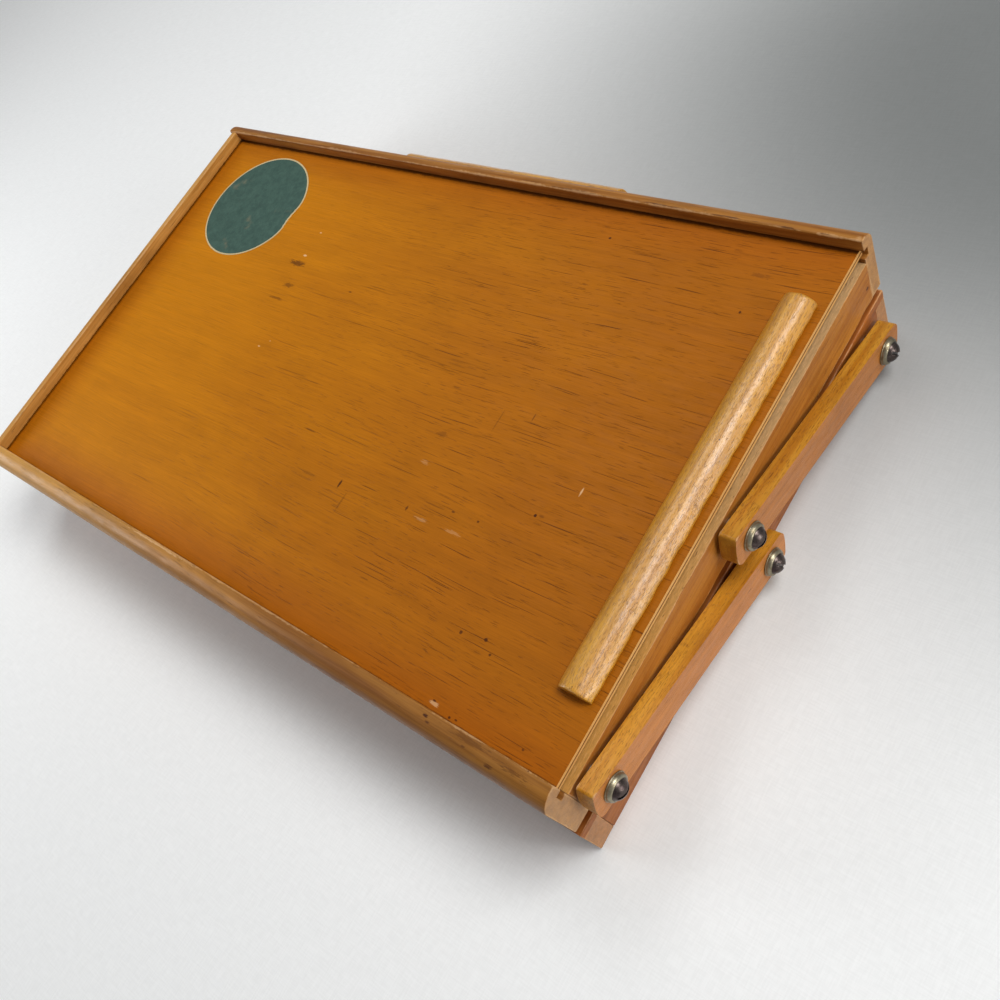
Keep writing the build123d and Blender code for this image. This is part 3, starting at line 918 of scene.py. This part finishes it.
def beech_material(name, node, turn, tones, offset, outer=0.0, depth=1.0, coat=0.0):
    """Varnished beech with its dense short flecks, a painted sheen on the faces that look along X, tones darkened
    by a depth factor as painted shade, and glossy under a coat.
    """
    boards = bpy.context.scene.box_boards
    # Painted shade: depth darkens every tone, and is below 1 for the rear arms.
    light, dark = (Vector(getattr(boards, tone_name)) * depth for tone_name in tones)
    outer_tone = Vector(boards.beech_outer) * depth
    low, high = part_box(node)
    material, nodes, shader = new_material(name)
    place, lying = grained(nodes, turn, offset)
    grain = long_grain(nodes, lying, streak_width=0.0024, fibre_width=0.00035)
    flecks = open_pores(nodes, lying, length=0.0009, width=0.00013, share=0.26)
    slits = open_pores(nodes, lying, length=0.0030, width=0.00022, share=0.04)
    handled = handled_surface(nodes, lying, speck_share=0.25)
    worn = worn_edges(nodes, place, low_corner=low, high_corner=high, width=boards.wear_width * 0.7)
    colour = nodes.mix(nodes.remap(grain["Streak"], 0.3, 0.7), dark, light)
    fleck_strength = 0.45
    # Painted sheen: faces that look along X take a paler, greyer tone and fewer flecks.
    if outer:
        facing = nodes.remap(nodes.sideways(), 0.5, 0.9, 0.0, outer)
        faded = nodes.shade(outer_tone, nodes.remap(grain["Streak"], 0.25, 0.75, 0.88, 1.08))
        colour = nodes.mix(facing, colour, faded)
        fleck_strength = nodes.maths("MULTIPLY_ADD", facing, -0.3, 0.45)
    colour = nodes.shade(colour, nodes.remap(grain["Fibre"], 0.25, 0.75, 0.9, 1.07))
    colour = nodes.lay(colour, boards.pore, handled["Grime"], 0.25, "MULTIPLY")
    colour = nodes.lay(colour, boards.worn, worn["Wear"], 0.5)
    colour = nodes.lay(colour, boards.beech_fleck, flecks["Pore"], fleck_strength)
    colour = nodes.lay(colour, boards.pore, slits["Pore"], 0.7)
    colour = nodes.mix(handled["Speck"], colour, boards.pore)
    if coat:
        shine = nodes.noise(lying, (900.0, 2600.0, 2600.0), 2.0, 0.7)
        nodes.feed(shader.inputs["Coat Weight"], nodes.remap(shine, 0.36, 0.58, 0.35 * coat, coat))
        shader.inputs["Coat Roughness"].default_value = 0.3
    rough = nodes.remap(handled["Polish"], 0.3, 0.7, 0.3, 0.46)
    relief = nodes.weigh((grain["Fibre"], 0.6), (flecks["Pore"], -0.8), (handled["Polish"], 0.8))
    nodes.surface(shader, colour, rough, relief, depth=0.00008 + 0.0001 * coat, specular=0.28 + 0.3 * coat)
    return material


def sheet_material(name, node, edge_tones):
    """Plain plywood of a bottom sheet, with its plies at the edges."""
    boards = bpy.context.scene.box_boards
    edge_light, edge_dark = (getattr(boards, tone_name) for tone_name in edge_tones)
    low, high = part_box(node)
    material, nodes, shader = new_material(name)
    place, lying = grained(nodes, ALONG_X, (0.31, 0.17, 0.0))
    normal = nodes.coordinates("Normal")
    grain = long_grain(nodes, lying, streak_width=0.007, fibre_width=0.0006)
    pores = open_pores(nodes, lying, length=0.008, width=0.0003, share=0.1)
    handled = handled_surface(nodes, place, speck_share=0.3)
    plies = ply_edge(nodes, place, normal=normal, base=low.z, thickness=high.z - low.z)
    colour = nodes.mix(nodes.remap(grain["Streak"], 0.3, 0.7), boards.sheet_dark, boards.sheet_light)
    colour = nodes.shade(colour, nodes.remap(grain["Fibre"], 0.25, 0.75, 0.9, 1.05))
    colour = nodes.lay(colour, boards.pore, handled["Grime"], 0.35, "MULTIPLY")
    colour = nodes.lay(colour, boards.pore, pores["Pore"], 0.45)
    # For the upper sheet the edge tones are painted shade of the recess between the trays.
    mottled = nodes.shade(edge_light, nodes.remap(grain["Fibre"], 0.3, 0.7, 0.75, 1.15))
    edge = nodes.mix(plies["Cross ply"], mottled, edge_dark)
    edge = nodes.mix(plies["Glue line"], edge, boards.pore)
    colour = nodes.mix(plies["Edge"], colour, edge)
    colour = nodes.mix(handled["Speck"], colour, boards.pore)
    rough = nodes.remap(handled["Polish"], 0.3, 0.7, 0.6, 0.75)
    relief = nodes.weigh((grain["Fibre"], 0.5), (pores["Pore"], -1.0))
    nodes.surface(shader, colour, rough, relief, depth=0.00008, specular=0.25)
    return material


def metal_material(name, colour, stain, roughness, relief_depth=0.000006):
    """Plated or bare metal with tarnish and fine scratches."""
    material, nodes, shader = new_material(name)
    place = nodes.coordinates("Object")
    tarnish = nodes.noise(place, 500.0, 4.0, 0.6)
    fine = nodes.noise(place, (1500.0, 6000.0, 2500.0), 2.0, 0.6)
    mixed = nodes.mix(nodes.remap(tarnish, 0.45, 0.75), colour, stain)
    mixed = nodes.shade(mixed, nodes.remap(fine, 0.3, 0.7, 0.92, 1.06))
    rough = nodes.remap(tarnish, 0.3, 0.75, roughness, roughness + 0.12)
    shader.inputs["Metallic"].default_value = 1.0
    nodes.surface(shader, mixed, rough, nodes.maths("MULTIPLY_ADD", fine, 0.5, tarnish), relief_depth)
    return material


def paper_material(name, light, dark):
    """Faded mottled paper with rubbed fibres."""
    boards = bpy.context.scene.box_boards
    material, nodes, shader = new_material(name)
    place = nodes.coordinates("Object")
    mottle = nodes.noise(place, 240.0, 5.0, 0.7)
    fibre = nodes.noise(place, (1800.0, 900.0, 900.0), 3.0, 0.6)
    rubbed = nodes.noise(place, 90.0, 3.0, 0.6)
    colour = nodes.mix(nodes.remap(mottle, 0.3, 0.7), dark, light)
    colour = nodes.shade(colour, nodes.remap(fibre, 0.3, 0.7, 0.9, 1.12))
    colour = nodes.mix(nodes.remap(rubbed, 0.62, 0.85, 0.0, 0.25), colour, boards.worn)
    rough = nodes.remap(mottle, 0.3, 0.7, 0.55, 0.7)
    nodes.surface(shader, colour, rough, nodes.maths("ADD", mottle, fibre), depth=0.00004, specular=0.3)
    return material


# Boards: node, turn of the grain, tones, offset of the pattern, wear, arris
RAIL = ("rail_light", "rail_dark")
CLOSED_END = ("closed_light", "closed_dark")
LOW_WALL = ("end_light", "end_dark")
LOWER_TRAY = ("lower_light", "lower_dark")
BOARDS = (
    ("upper_front_rail", ALONG_X, RAIL, (0.0, 0.0, 0.0), 1.0, "arris"),
    ("upper_rear_rail", ALONG_X, RAIL, (0.7, 0.1, 0.0), 1.2, "arris"),
    ("upper_closed_end", ALONG_Y, CLOSED_END, (1.4, 0.2, 0.0), 0.8, "arris"),
    ("upper_open_end", ALONG_Y, LOW_WALL, (2.1, 0.3, 0.0), 0.8, "fine_arris"),
    ("lower_front_rail", ALONG_X, LOWER_TRAY, (2.8, 0.4, 0.0), 0.6, "fine_arris"),
    ("lower_rear_rail", ALONG_X, LOWER_TRAY, (3.5, 0.5, 0.0), 0.6, "fine_arris"),
    ("lower_left_end", ALONG_Y, LOWER_TRAY, (4.2, 0.6, 0.0), 0.6, "fine_arris"),
    ("lower_right_end", ALONG_Y, LOWER_TRAY, (4.9, 0.7, 0.0), 0.6, "fine_arris"),
)


class PENCILBOX_OT_boards(bpy.types.Operator):
    """Make the rails and end walls of both trays"""

    bl_idname = "pencilbox.boards"
    bl_label = "Rails and End Walls"

    def execute(self, context):
        boards = context.scene.box_boards
        for seed, (node, turn, tones, offset, wear, arris) in enumerate(BOARDS):
            rough = node == "upper_open_end"
            depth = boards.rough_depth if rough else boards.dent_depth
            piece = softened(
                node, f"{node}_board", seed * 7.3, getattr(boards, arris), depth,
                bare=-0.1 if rough else 0.15, long_axis=0 if turn == ALONG_X else 1,
            )
            material = board_material(f"Wood {node}", node, turn, tones, offset, wear)
            finish_piece(piece, BODY_OF[node], material, "rail_wood", node)
        return {"FINISHED"}


# Where the nails stand, as shares of a sheet's length and width
NAILS_ALONG = (0.06, 0.28, 0.5, 0.72, 0.94)
NAILS_ACROSS = (0.22, 0.5, 0.78)
NAIL_POINT, NAIL_TIP = 0.0012, 0.0001


def nail_places(node):
    """Where the nails go through a bottom sheet, over the middle of what it is nailed to."""
    low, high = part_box(node)
    tray = node.split("_")[0]
    front = (low.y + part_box(f"{tray}_front_rail")[1].y) / 2
    rear = (high.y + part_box(f"{tray}_rear_rail")[0].y) / 2
    left_wall, right_wall = {
        "upper": ("upper_closed_end", "upper_open_end"), "lower": ("lower_left_end", "lower_right_end"),
    }[tray]
    left = (low.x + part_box(left_wall)[1].x) / 2
    right = (high.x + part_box(right_wall)[0].x) / 2
    along = [low.x + (high.x - low.x) * part for part in NAILS_ALONG]
    across = [low.y + (high.y - low.y) * part for part in NAILS_ACROSS]
    places = [(x, y) for y in (front, rear) for x in along]
    places += [(x, y) for x in (left, right) for y in across]
    return [Vector((x, y, low.z)) for x, y in places]


class PENCILBOX_OT_bottoms(bpy.types.Operator):
    """Make the plywood bottoms, with countersinks for their nails"""

    bl_idname = "pencilbox.bottoms"
    bl_label = "Bottom Sheets"

    def execute(self, context):
        boards, parts = context.scene.box_boards, context.scene.box_hardware
        # The upper sheet's edge, recessed between the trays, takes tones of painted shade.
        edges = {
            "lower_bottom": ("ply_light", "ply_dark"), "upper_bottom": ("recess_light", "recess_dark"),
        }
        for seed, (node, edge_tones) in enumerate(edges.items()):
            piece = softened(node, f"{node}_sheet", 90 + seed, boards.fine_arris, 0.0)
            bpy.ops.object.select_all(action="DESELECT")
            cutters = []
            for place in nail_places(node):
                bpy.ops.mesh.primitive_cylinder_add(
                    vertices=24, radius=parts.nail_radius * 1.12, depth=4 * parts.nail_sink, location=place,
                )
                cutters.append(bpy.context.object)
            for cutter in cutters:
                cutter.select_set(True)
            bpy.ops.object.join()
            cutter = bpy.context.object
            apply_modifier(piece, "BOOLEAN", operation="DIFFERENCE", object=cutter, solver="EXACT")
            bpy.data.objects.remove(cutter)
            smooth(piece)
            material = sheet_material(f"Plywood {node}", node, edge_tones)
            finish_piece(piece, BODY_OF[node], material, "bottom_plywood", node)
        return {"FINISHED"}


class PENCILBOX_OT_nails(bpy.types.Operator):
    """Make the nails that hold the bottom sheets"""

    bl_idname = "pencilbox.nails"
    bl_label = "Bottom Nails"

    def execute(self, context):
        parts = context.scene.box_hardware
        head = parts.nail_radius
        neck = head * 0.5
        outline = [
            (head * 0.9, 0.0), (head, 0.0001), (head, 0.0004), (neck * 1.1, 0.0007),
            (neck, parts.nail_length - NAIL_POINT), (NAIL_TIP, parts.nail_length),
        ]
        metal = metal_material("Nail steel", parts.plain, parts.nail_stain, 0.4)
        for node in ("lower_bottom", "upper_bottom"):
            pattern = turned("nail_pattern", outline, 20)
            smooth(pattern)
            sunk = Matrix.Translation((0, 0, parts.nail_sink))
            nails = [
                placed_copy(pattern, f"{node}_nails", Matrix.Translation(place) @ sunk)
                for place in nail_places(node)
            ]
            bpy.data.objects.remove(pattern)
            for nail in nails:
                nail.select_set(True)
            bpy.ops.object.join()
            piece = bpy.context.object
            piece.name = piece.data.name = f"{node}_nails"
            finish_piece(piece, BODY_OF[node], metal, "blued_steel")
        return {"FINISHED"}


class PENCILBOX_OT_lid(bpy.types.Operator):
    """Make the sliding plywood lid"""

    bl_idname = "pencilbox.lid"
    bl_label = "Lid"

    def execute(self, context):
        boards = context.scene.box_boards
        piece = softened("lid_panel", "lid_sheet", 31.0, boards.arris / 2, boards.dent_depth / 3)
        finish_piece(piece, BODY_OF["lid_panel"], lid_material(), "lid_plywood", "lid_panel")
        return {"FINISHED"}


def half_round(name, node, along, upward):
    """A half-round batten in a node's box, cut from a cylinder."""
    battens = bpy.context.scene.box_battens
    low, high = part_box(node)
    across = 3 - along - upward
    width, height = high[across] - low[across], high[upward] - low[upward]
    rise = height - battens.flank
    radius = ((width / 2) ** 2 + rise ** 2) / (2 * rise)
    centre = (low + high) / 2
    centre[upward] = low[upward] + height - radius
    turn = {0: (0, math.pi / 2, 0), 1: (math.pi / 2, 0, 0)}[along]
    piece = added(
        bpy.ops.mesh.primitive_cylinder_add, name, vertices=96, radius=radius,
        depth=high[along] - low[along], location=centre, rotation=turn,
    )
    cuts = ((across, low[across], -1), (across, high[across], 1), (upward, low[upward], -1))
    begin_edit(piece)
    for axis, level, outward in cuts:
        place, normal = Vector((0, 0, 0)), Vector((0, 0, 0))
        place[axis], normal[axis] = level, outward
        bpy.ops.mesh.select_all(action="SELECT")
        bpy.ops.mesh.bisect(plane_co=place, plane_no=normal, use_fill=True, clear_outer=True)
    end_edit()
    return piece, low, high


class PENCILBOX_OT_battens(bpy.types.Operator):
    """Make the lid's pull and the rear handle"""

    bl_idname = "pencilbox.battens"
    bl_label = "Battens"

    def execute(self, context):
        boards, battens = context.scene.box_boards, context.scene.box_battens
        for seed, (node, name, along, upward, turn) in enumerate((
            ("lid_pull", "lid_pull_batten", 1, 2, ALONG_Y),
            ("rear_handle", "rear_handle_batten", 0, 1, ALONG_X),
        )):
            piece, low, high = half_round(name, node, along, upward)
            apply_modifier(
                piece, "BEVEL", width=battens.end_bevel, segments=3, limit_method="ANGLE",
                angle_limit=math.radians(50),
            )
            begin_edit(piece)
            cut_along(along, low[along], high[along], boards.dent_spacing / 2)
            end_edit()
            depth = battens.waviness * 2
            dent(piece, low, high, 3 * boards.dent_reach, depth, battens.pitch, bare=-0.2, seed=50 + seed)
            smooth(piece)
            material = beech_material(
                f"Beech {node}", node, turn, ("batten_light", "batten_dark"), (seed * 0.9, 0.2, 0.1),
                coat=1.0,
            )
            finish_piece(piece, BODY_OF[node], material, "beech", node)
        return {"FINISHED"}


class PENCILBOX_OT_label(bpy.types.Operator):
    """Make the bare round paper label with its torn edge"""

    bl_idname = "pencilbox.label"
    bl_label = "Label"

    def execute(self, context):
        label = context.scene.box_label
        centre = (LABEL_LOW + LABEL_HIGH) / 2
        centre.z = LABEL_LOW.z
        piece = added(
            bpy.ops.mesh.primitive_circle_add, "round_label", vertices=label.points, fill_type="NGON",
            radius=(LABEL_HIGH.x - LABEL_LOW.x) / 2, location=centre,
        )
        for vertex in piece.data.vertices:
            away = vertex.co - centre
            angle = math.atan2(away.y, away.x) - label.nick_angle
            torn = math.exp(-((math.remainder(angle, math.tau) / label.nick_spread) ** 2))
            ragged = 0.8 + 0.3 * noise.noise(away * 420) + 0.3 * noise.noise(away * 1500)
            fine = label.fuzz * (1 + noise.noise(away * 900))
            shrink = label.nick_depth * torn * ragged + fine
            vertex.co -= away.normalized() * shrink
        begin_edit(piece)
        bpy.ops.mesh.extrude_region_move(
            TRANSFORM_OT_translate={"value": (0, 0, LABEL_HIGH.z - LABEL_LOW.z)},
        )
        bpy.ops.mesh.select_all(action="SELECT")
        bpy.ops.mesh.normals_make_consistent(inside=False)
        pick(piece, "faces", lambda face: face.normal.z > 0.9)
        bpy.ops.mesh.inset(thickness=label.rim)
        end_edit()
        green = paper_material("Green paper", label.green, label.green_dark)
        cream = paper_material("Cream paper", label.cream, label.cream)
        finish_piece(piece, BODY_OF["lid_label"], [cream, green], "label_paper", "lid_label")
        middle = max(piece.data.polygons, key=lambda face: face.normal.z * face.area)
        middle.material_index = 1
        return {"FINISHED"}


class PENCILBOX_OT_arms(bpy.types.Operator):
    """Make the four folding arms"""

    bl_idname = "pencilbox.arms"
    bl_label = "Folding Arms"

    def execute(self, context):
        boards = context.scene.box_boards
        for seed, node in enumerate(("arm_right_rear", "arm_right_front", "arm_left_rear", "arm_left_front")):
            piece = softened(
                node, f"{node}_bar", 60 + seed * 3.1, boards.arris, boards.dent_depth, long_axis=1)
            offset = (seed * 0.63, seed * 0.21, 0.0)
            # Painted shade: the rear arms are painted darker, where less light reaches them.
            depth = 0.85 if node.endswith("rear") else 1.0
            material = beech_material(
                f"Beech {node}", node, ALONG_ARM, ("beech_light", "beech_dark"), offset, outer=0.9,
                depth=depth,
            )
            finish_piece(piece, BODY_OF[node], material, "beech", node)
        return {"FINISHED"}


# Softened edges, small gaps and points of the turned hardware, in metres
SOFT_EDGE = 0.0001
FLANGE_UNDER, FLANGE_OVER = 0.00012, 0.00014
WASHER_LIP = 0.0002
HEAD_GAP = 0.00008
HEAD_SIDE = 0.00025
CROWN_RADIUS = 0.00004
SCREW_POINT, SCREW_TIP = 0.0018, 0.0002
CUT_PAST = 0.001
BURR_WIDTH = 0.00009
NEARLY = 1e-5


class PENCILBOX_OT_washers(bpy.types.Operator):
    """Make the raised washers under the screw heads"""

    bl_idname = "pencilbox.washers"
    bl_label = "Raised Washers"

    def execute(self, context):
        parts = context.scene.box_hardware
        base, top = parts.play, parts.play + parts.cup_height
        seat = top - parts.seat_depth
        flange = base + parts.flange_height
        radius, bore = parts.cup_radius, parts.shank_radius + parts.play
        rim, shoulder = parts.head_radius + WASHER_LIP, radius - 2 * FLANGE_UNDER
        steps = 9
        crown = [
            (rim + (shoulder - rim) * math.cos(angle), flange + (top - flange) * math.sin(angle))
            for angle in (math.pi / 2 * step / steps for step in range(steps + 1))
        ]
        outline = [
            (bore, base), (radius - FLANGE_UNDER, base), (radius, base + SOFT_EDGE),
            (radius, flange - FLANGE_OVER), (radius - SOFT_EDGE, flange - 0.3 * SOFT_EDGE), *crown,
            (parts.head_radius + HEAD_GAP, top - HEAD_GAP / 2), (parts.head_radius + HEAD_GAP / 2, seat),
            (bore, seat), (bore, base),
        ]
        pattern = turned("washer_pattern", outline, 72, bored=True)
        smooth(pattern)
        metal = metal_material("Nickel", parts.nickel, parts.nickel_stain, 0.3)
        copy_to_pivots(pattern, "washer", metal, "nickel", ("lower", "upper"), "cup_washers")
        return {"FINISHED"}


class PENCILBOX_OT_screws(bpy.types.Operator):
    """Make the slotted pivot screws"""

    bl_idname = "pencilbox.screws"
    bl_label = "Pivot Screws"

    def execute(self, context):
        parts = context.scene.box_hardware
        seat = parts.play + parts.cup_height - parts.seat_depth
        edge = seat + HEAD_SIDE
        rise = SCREW_REACH - edge
        radius = (parts.head_radius ** 2 + rise ** 2) / (2 * rise)
        sweep = math.asin(parts.head_radius / radius)
        steps = 12
        angles = [sweep * (1 - step / steps) for step in range(steps)]
        middle = edge + rise - radius
        dome = [(radius * math.sin(angle), middle + radius * math.cos(angle)) for angle in angles]
        dome.append((CROWN_RADIUS, SCREW_REACH))
        metal = metal_material("Blued steel", parts.screw_dark, parts.screw_stain, 0.24, 0.00003)
        bright = metal_material("Bare steel", parts.screw_bright, parts.plain, 0.22)
        for tray, wall_x in (("upper", UPPER_END_X), ("lower", LOWER_END_X)):
            tip = wall_x - ARM_OUTER_X - parts.screw_bite
            outline = [
                (SCREW_TIP, tip), (parts.shank_radius, tip + SCREW_POINT), (parts.shank_radius, seat),
                (parts.head_radius - SOFT_EDGE, seat), *dome,
            ]
            pattern = turned("screw_pattern", outline, 64)
            bpy.ops.object.select_all(action="DESELECT")
            bpy.ops.mesh.primitive_cube_add(
                size=1, location=(0, 0, edge + rise - parts.slot_depth / 2 + CUT_PAST),
                scale=(3 * parts.head_radius, parts.slot_width, parts.slot_depth + 2 * CUT_PAST),
            )
            cutter = bpy.context.object
            apply_modifier(pattern, "BOOLEAN", operation="DIFFERENCE", object=cutter, solver="EXACT")
            bpy.data.objects.remove(cutter)
            half = parts.slot_width / 2
            begin_edit(pattern)
            pick(pattern, "edges", lambda line: line.calc_length() > NEARLY and all(
                abs(abs(end.co.y) - half) < NEARLY and end.co.z > edge for end in line.verts))
            bpy.ops.mesh.bevel(offset=BURR_WIDTH, segments=2, material=1)
            end_edit()
            smooth(pattern)
            copy_to_pivots(pattern, "screw", [metal, bright], "blued_steel", (tray,), "pivot_screws")
        return {"FINISHED"}


class PENCILBOX_OT_spacers(bpy.types.Operator):
    """Make the plain washers between the arms and the end walls"""

    bl_idname = "pencilbox.spacers"
    bl_label = "Spacers"

    def execute(self, context):
        parts = context.scene.box_hardware
        metal = metal_material("Plain steel", parts.plain, parts.spacer_stain, 0.35)
        bore, radius = parts.shank_radius + parts.play, parts.spacer_radius
        for tray, wall_x in (("upper", UPPER_END_X), ("lower", LOWER_END_X)):
            base, top = wall_x - ARM_OUTER_X, ARM_INNER_X - ARM_OUTER_X - parts.play
            outline = [
                (bore, base), (radius - SOFT_EDGE, base), (radius, base + SOFT_EDGE),
                (radius, top - SOFT_EDGE), (radius - SOFT_EDGE, top), (bore, top), (bore, base),
            ]
            pattern = turned("spacer_pattern", outline, 40, bored=True)
            smooth(pattern)
            copy_to_pivots(pattern, "spacer", metal, "blued_steel", (tray,))
        return {"FINISHED"}


# Floor: its size, and the ellipse in which it falls from light to dark, a painted shade where the light falls off
# behind the open end
FLOOR_SIZE = 6.0
DARK_MIDDLE = (0.20, 0.23, 0.0)
DARK_STRETCH = (1.0, 1.25, 0.0)
DARK_REACH, LIGHT_START = 0.06, 0.38

# Lamps: name, place, size, setting of the power, colour
LAMPS = (
    ("Key lamp", (0.62, 0.40, 1.05), 0.6, "key_power", (1.0, 0.99, 0.97)),
    ("Top lamp", (-0.33, 0.36, 0.96), 0.42, "top_power", (1.0, 1.0, 1.0)),
    ("Left lamp", (-0.55, -0.30, 0.30), 0.3, "left_power", (1.0, 1.0, 1.0)),
    ("End lamp", (1.05, 0.10, 0.30), 0.5, "end_power", (1.0, 0.99, 0.98)),
)
SENSOR_WIDTH = 36.0
CLIP_START, CLIP_END = 0.01, 20.0


class PENCILBOX_OT_stage(bpy.types.Operator):
    """Make the floor, the lamps and the camera"""

    bl_idname = "pencilbox.stage"
    bl_label = "Stage"

    def execute(self, context):
        stage = context.scene.box_stage
        self.floor(stage)
        self.light(context.scene, stage)
        self.camera(context.scene, stage)
        context.scene.view_settings.view_transform = "Standard"
        return {"FINISHED"}

    def floor(self, stage):
        floor = added(bpy.ops.mesh.primitive_plane_add, "floor", size=FLOOR_SIZE, location=(0, 0, 0))
        material, nodes, shader = new_material("Floor paper")
        place = nodes.coordinates("Object")
        # Painted shade: the floor is painted darker within an ellipse behind the open end, where the light falls
        # off.
        away = nodes.vector("MULTIPLY", nodes.vector("SUBTRACT", place, DARK_MIDDLE), DARK_STRETCH)
        away = nodes.vector("LENGTH", away)
        colour = nodes.mix(nodes.remap(away, DARK_REACH, LIGHT_START), stage.floor_dark, stage.floor_light)
        weft = nodes.noise(place, (1800.0, 160.0, 1.0), 1.0)
        warp = nodes.noise(place, (160.0, 1800.0, 1.0), 1.0)
        weave = nodes.maths("MULTIPLY", nodes.maths("ADD", weft, warp), 0.5)
        nodes.feed(shader.inputs["Base Color"], nodes.shade(colour, nodes.remap(weave, 0.3, 0.7, 0.97, 1.03)))
        shader.inputs["Roughness"].default_value = 0.9
        shader.inputs["Specular IOR Level"].default_value = 0.0
        floor.data.materials.append(material)

    def light(self, scene, stage):
        for name, place, size, power_setting, colour in LAMPS:
            lamp = bpy.data.lights.new(name, "AREA")
            lamp.shape, lamp.size, lamp.color = "SQUARE", size, colour
            lamp.energy = getattr(stage, power_setting)
            holder = bpy.data.objects.new(name, lamp)
            scene.collection.objects.link(holder)
            holder.location = place
            holder.rotation_mode = "QUATERNION"
            holder.rotation_quaternion = (-Vector(place)).to_track_quat("-Z", "Y")
        world = bpy.data.worlds.new("Studio")
        scene.world = world
        world.use_nodes = True
        nodes = Nodes(world.node_tree)
        path = nodes.add("ShaderNodeLightPath").outputs
        seen = nodes.maths("MAXIMUM", path["Is Camera Ray"], path["Is Transmission Ray"])
        seen = nodes.maths("MAXIMUM", seen, path["Is Glossy Ray"])
        strength = nodes.maths("MULTIPLY_ADD", seen, stage.backdrop - stage.sky, stage.sky)
        background = world.node_tree.nodes["Background"]
        nodes.feed(background.inputs["Strength"], strength)
        background.inputs["Color"].default_value = (1.0, 1.0, 1.0, 1.0)

    def camera(self, scene, stage):
        place, target = Vector(stage.camera_at), Vector(stage.camera_target)
        data = bpy.data.cameras.new("Camera")
        data.lens, data.sensor_width = stage.camera_lens, SENSOR_WIDTH
        data.clip_start, data.clip_end = CLIP_START, CLIP_END
        camera = bpy.data.objects.new("Camera", data)
        scene.collection.objects.link(camera)
        camera.location = place
        camera.rotation_mode = "QUATERNION"
        look = (target - place).to_track_quat("-Z", "Y")
        camera.rotation_quaternion = look @ Quaternion((0, 0, 1), stage.camera_roll)
        scene.camera = camera


OPERATORS = (
    PENCILBOX_OT_stage,
    PENCILBOX_OT_boards,
    PENCILBOX_OT_bottoms,
    PENCILBOX_OT_nails,
    PENCILBOX_OT_lid,
    PENCILBOX_OT_battens,
    PENCILBOX_OT_label,
    PENCILBOX_OT_arms,
    PENCILBOX_OT_washers,
    PENCILBOX_OT_screws,
    PENCILBOX_OT_spacers,
)


class PENCILBOX_PT_sidebar(bpy.types.Panel):
    """Lists the pieces of the box and their settings"""

    bl_idname = "PENCILBOX_PT_sidebar"
    bl_label = "Pencil Box"
    bl_space_type = "VIEW_3D"
    bl_region_type = "UI"
    bl_category = "Pencil Box"

    def draw(self, context):
        for operator in OPERATORS:
            self.layout.operator(operator.bl_idname)
        for holder, group in SETTINGS.items():
            section = self.layout.box()
            section.label(text=group.__name__.replace("Settings", ""))
            for name in group.__annotations__:
                section.prop(getattr(context.scene, holder), name)


def register():
    for group in (*SETTINGS.values(), *OPERATORS, PENCILBOX_PT_sidebar):
        bpy.utils.register_class(group)
    for holder, group in SETTINGS.items():
        setattr(bpy.types.Scene, holder, PointerProperty(type=group))


def unregister():
    for holder in SETTINGS:
        delattr(bpy.types.Scene, holder)
    for group in (PENCILBOX_PT_sidebar, *reversed(OPERATORS), *reversed(SETTINGS.values())):
        bpy.utils.unregister_class(group)


def main():
    register()
    for operator in OPERATORS:
        family, name = operator.bl_idname.split(".")
        getattr(getattr(bpy.ops, family), name)()


if __name__ == "__main__":
    main()
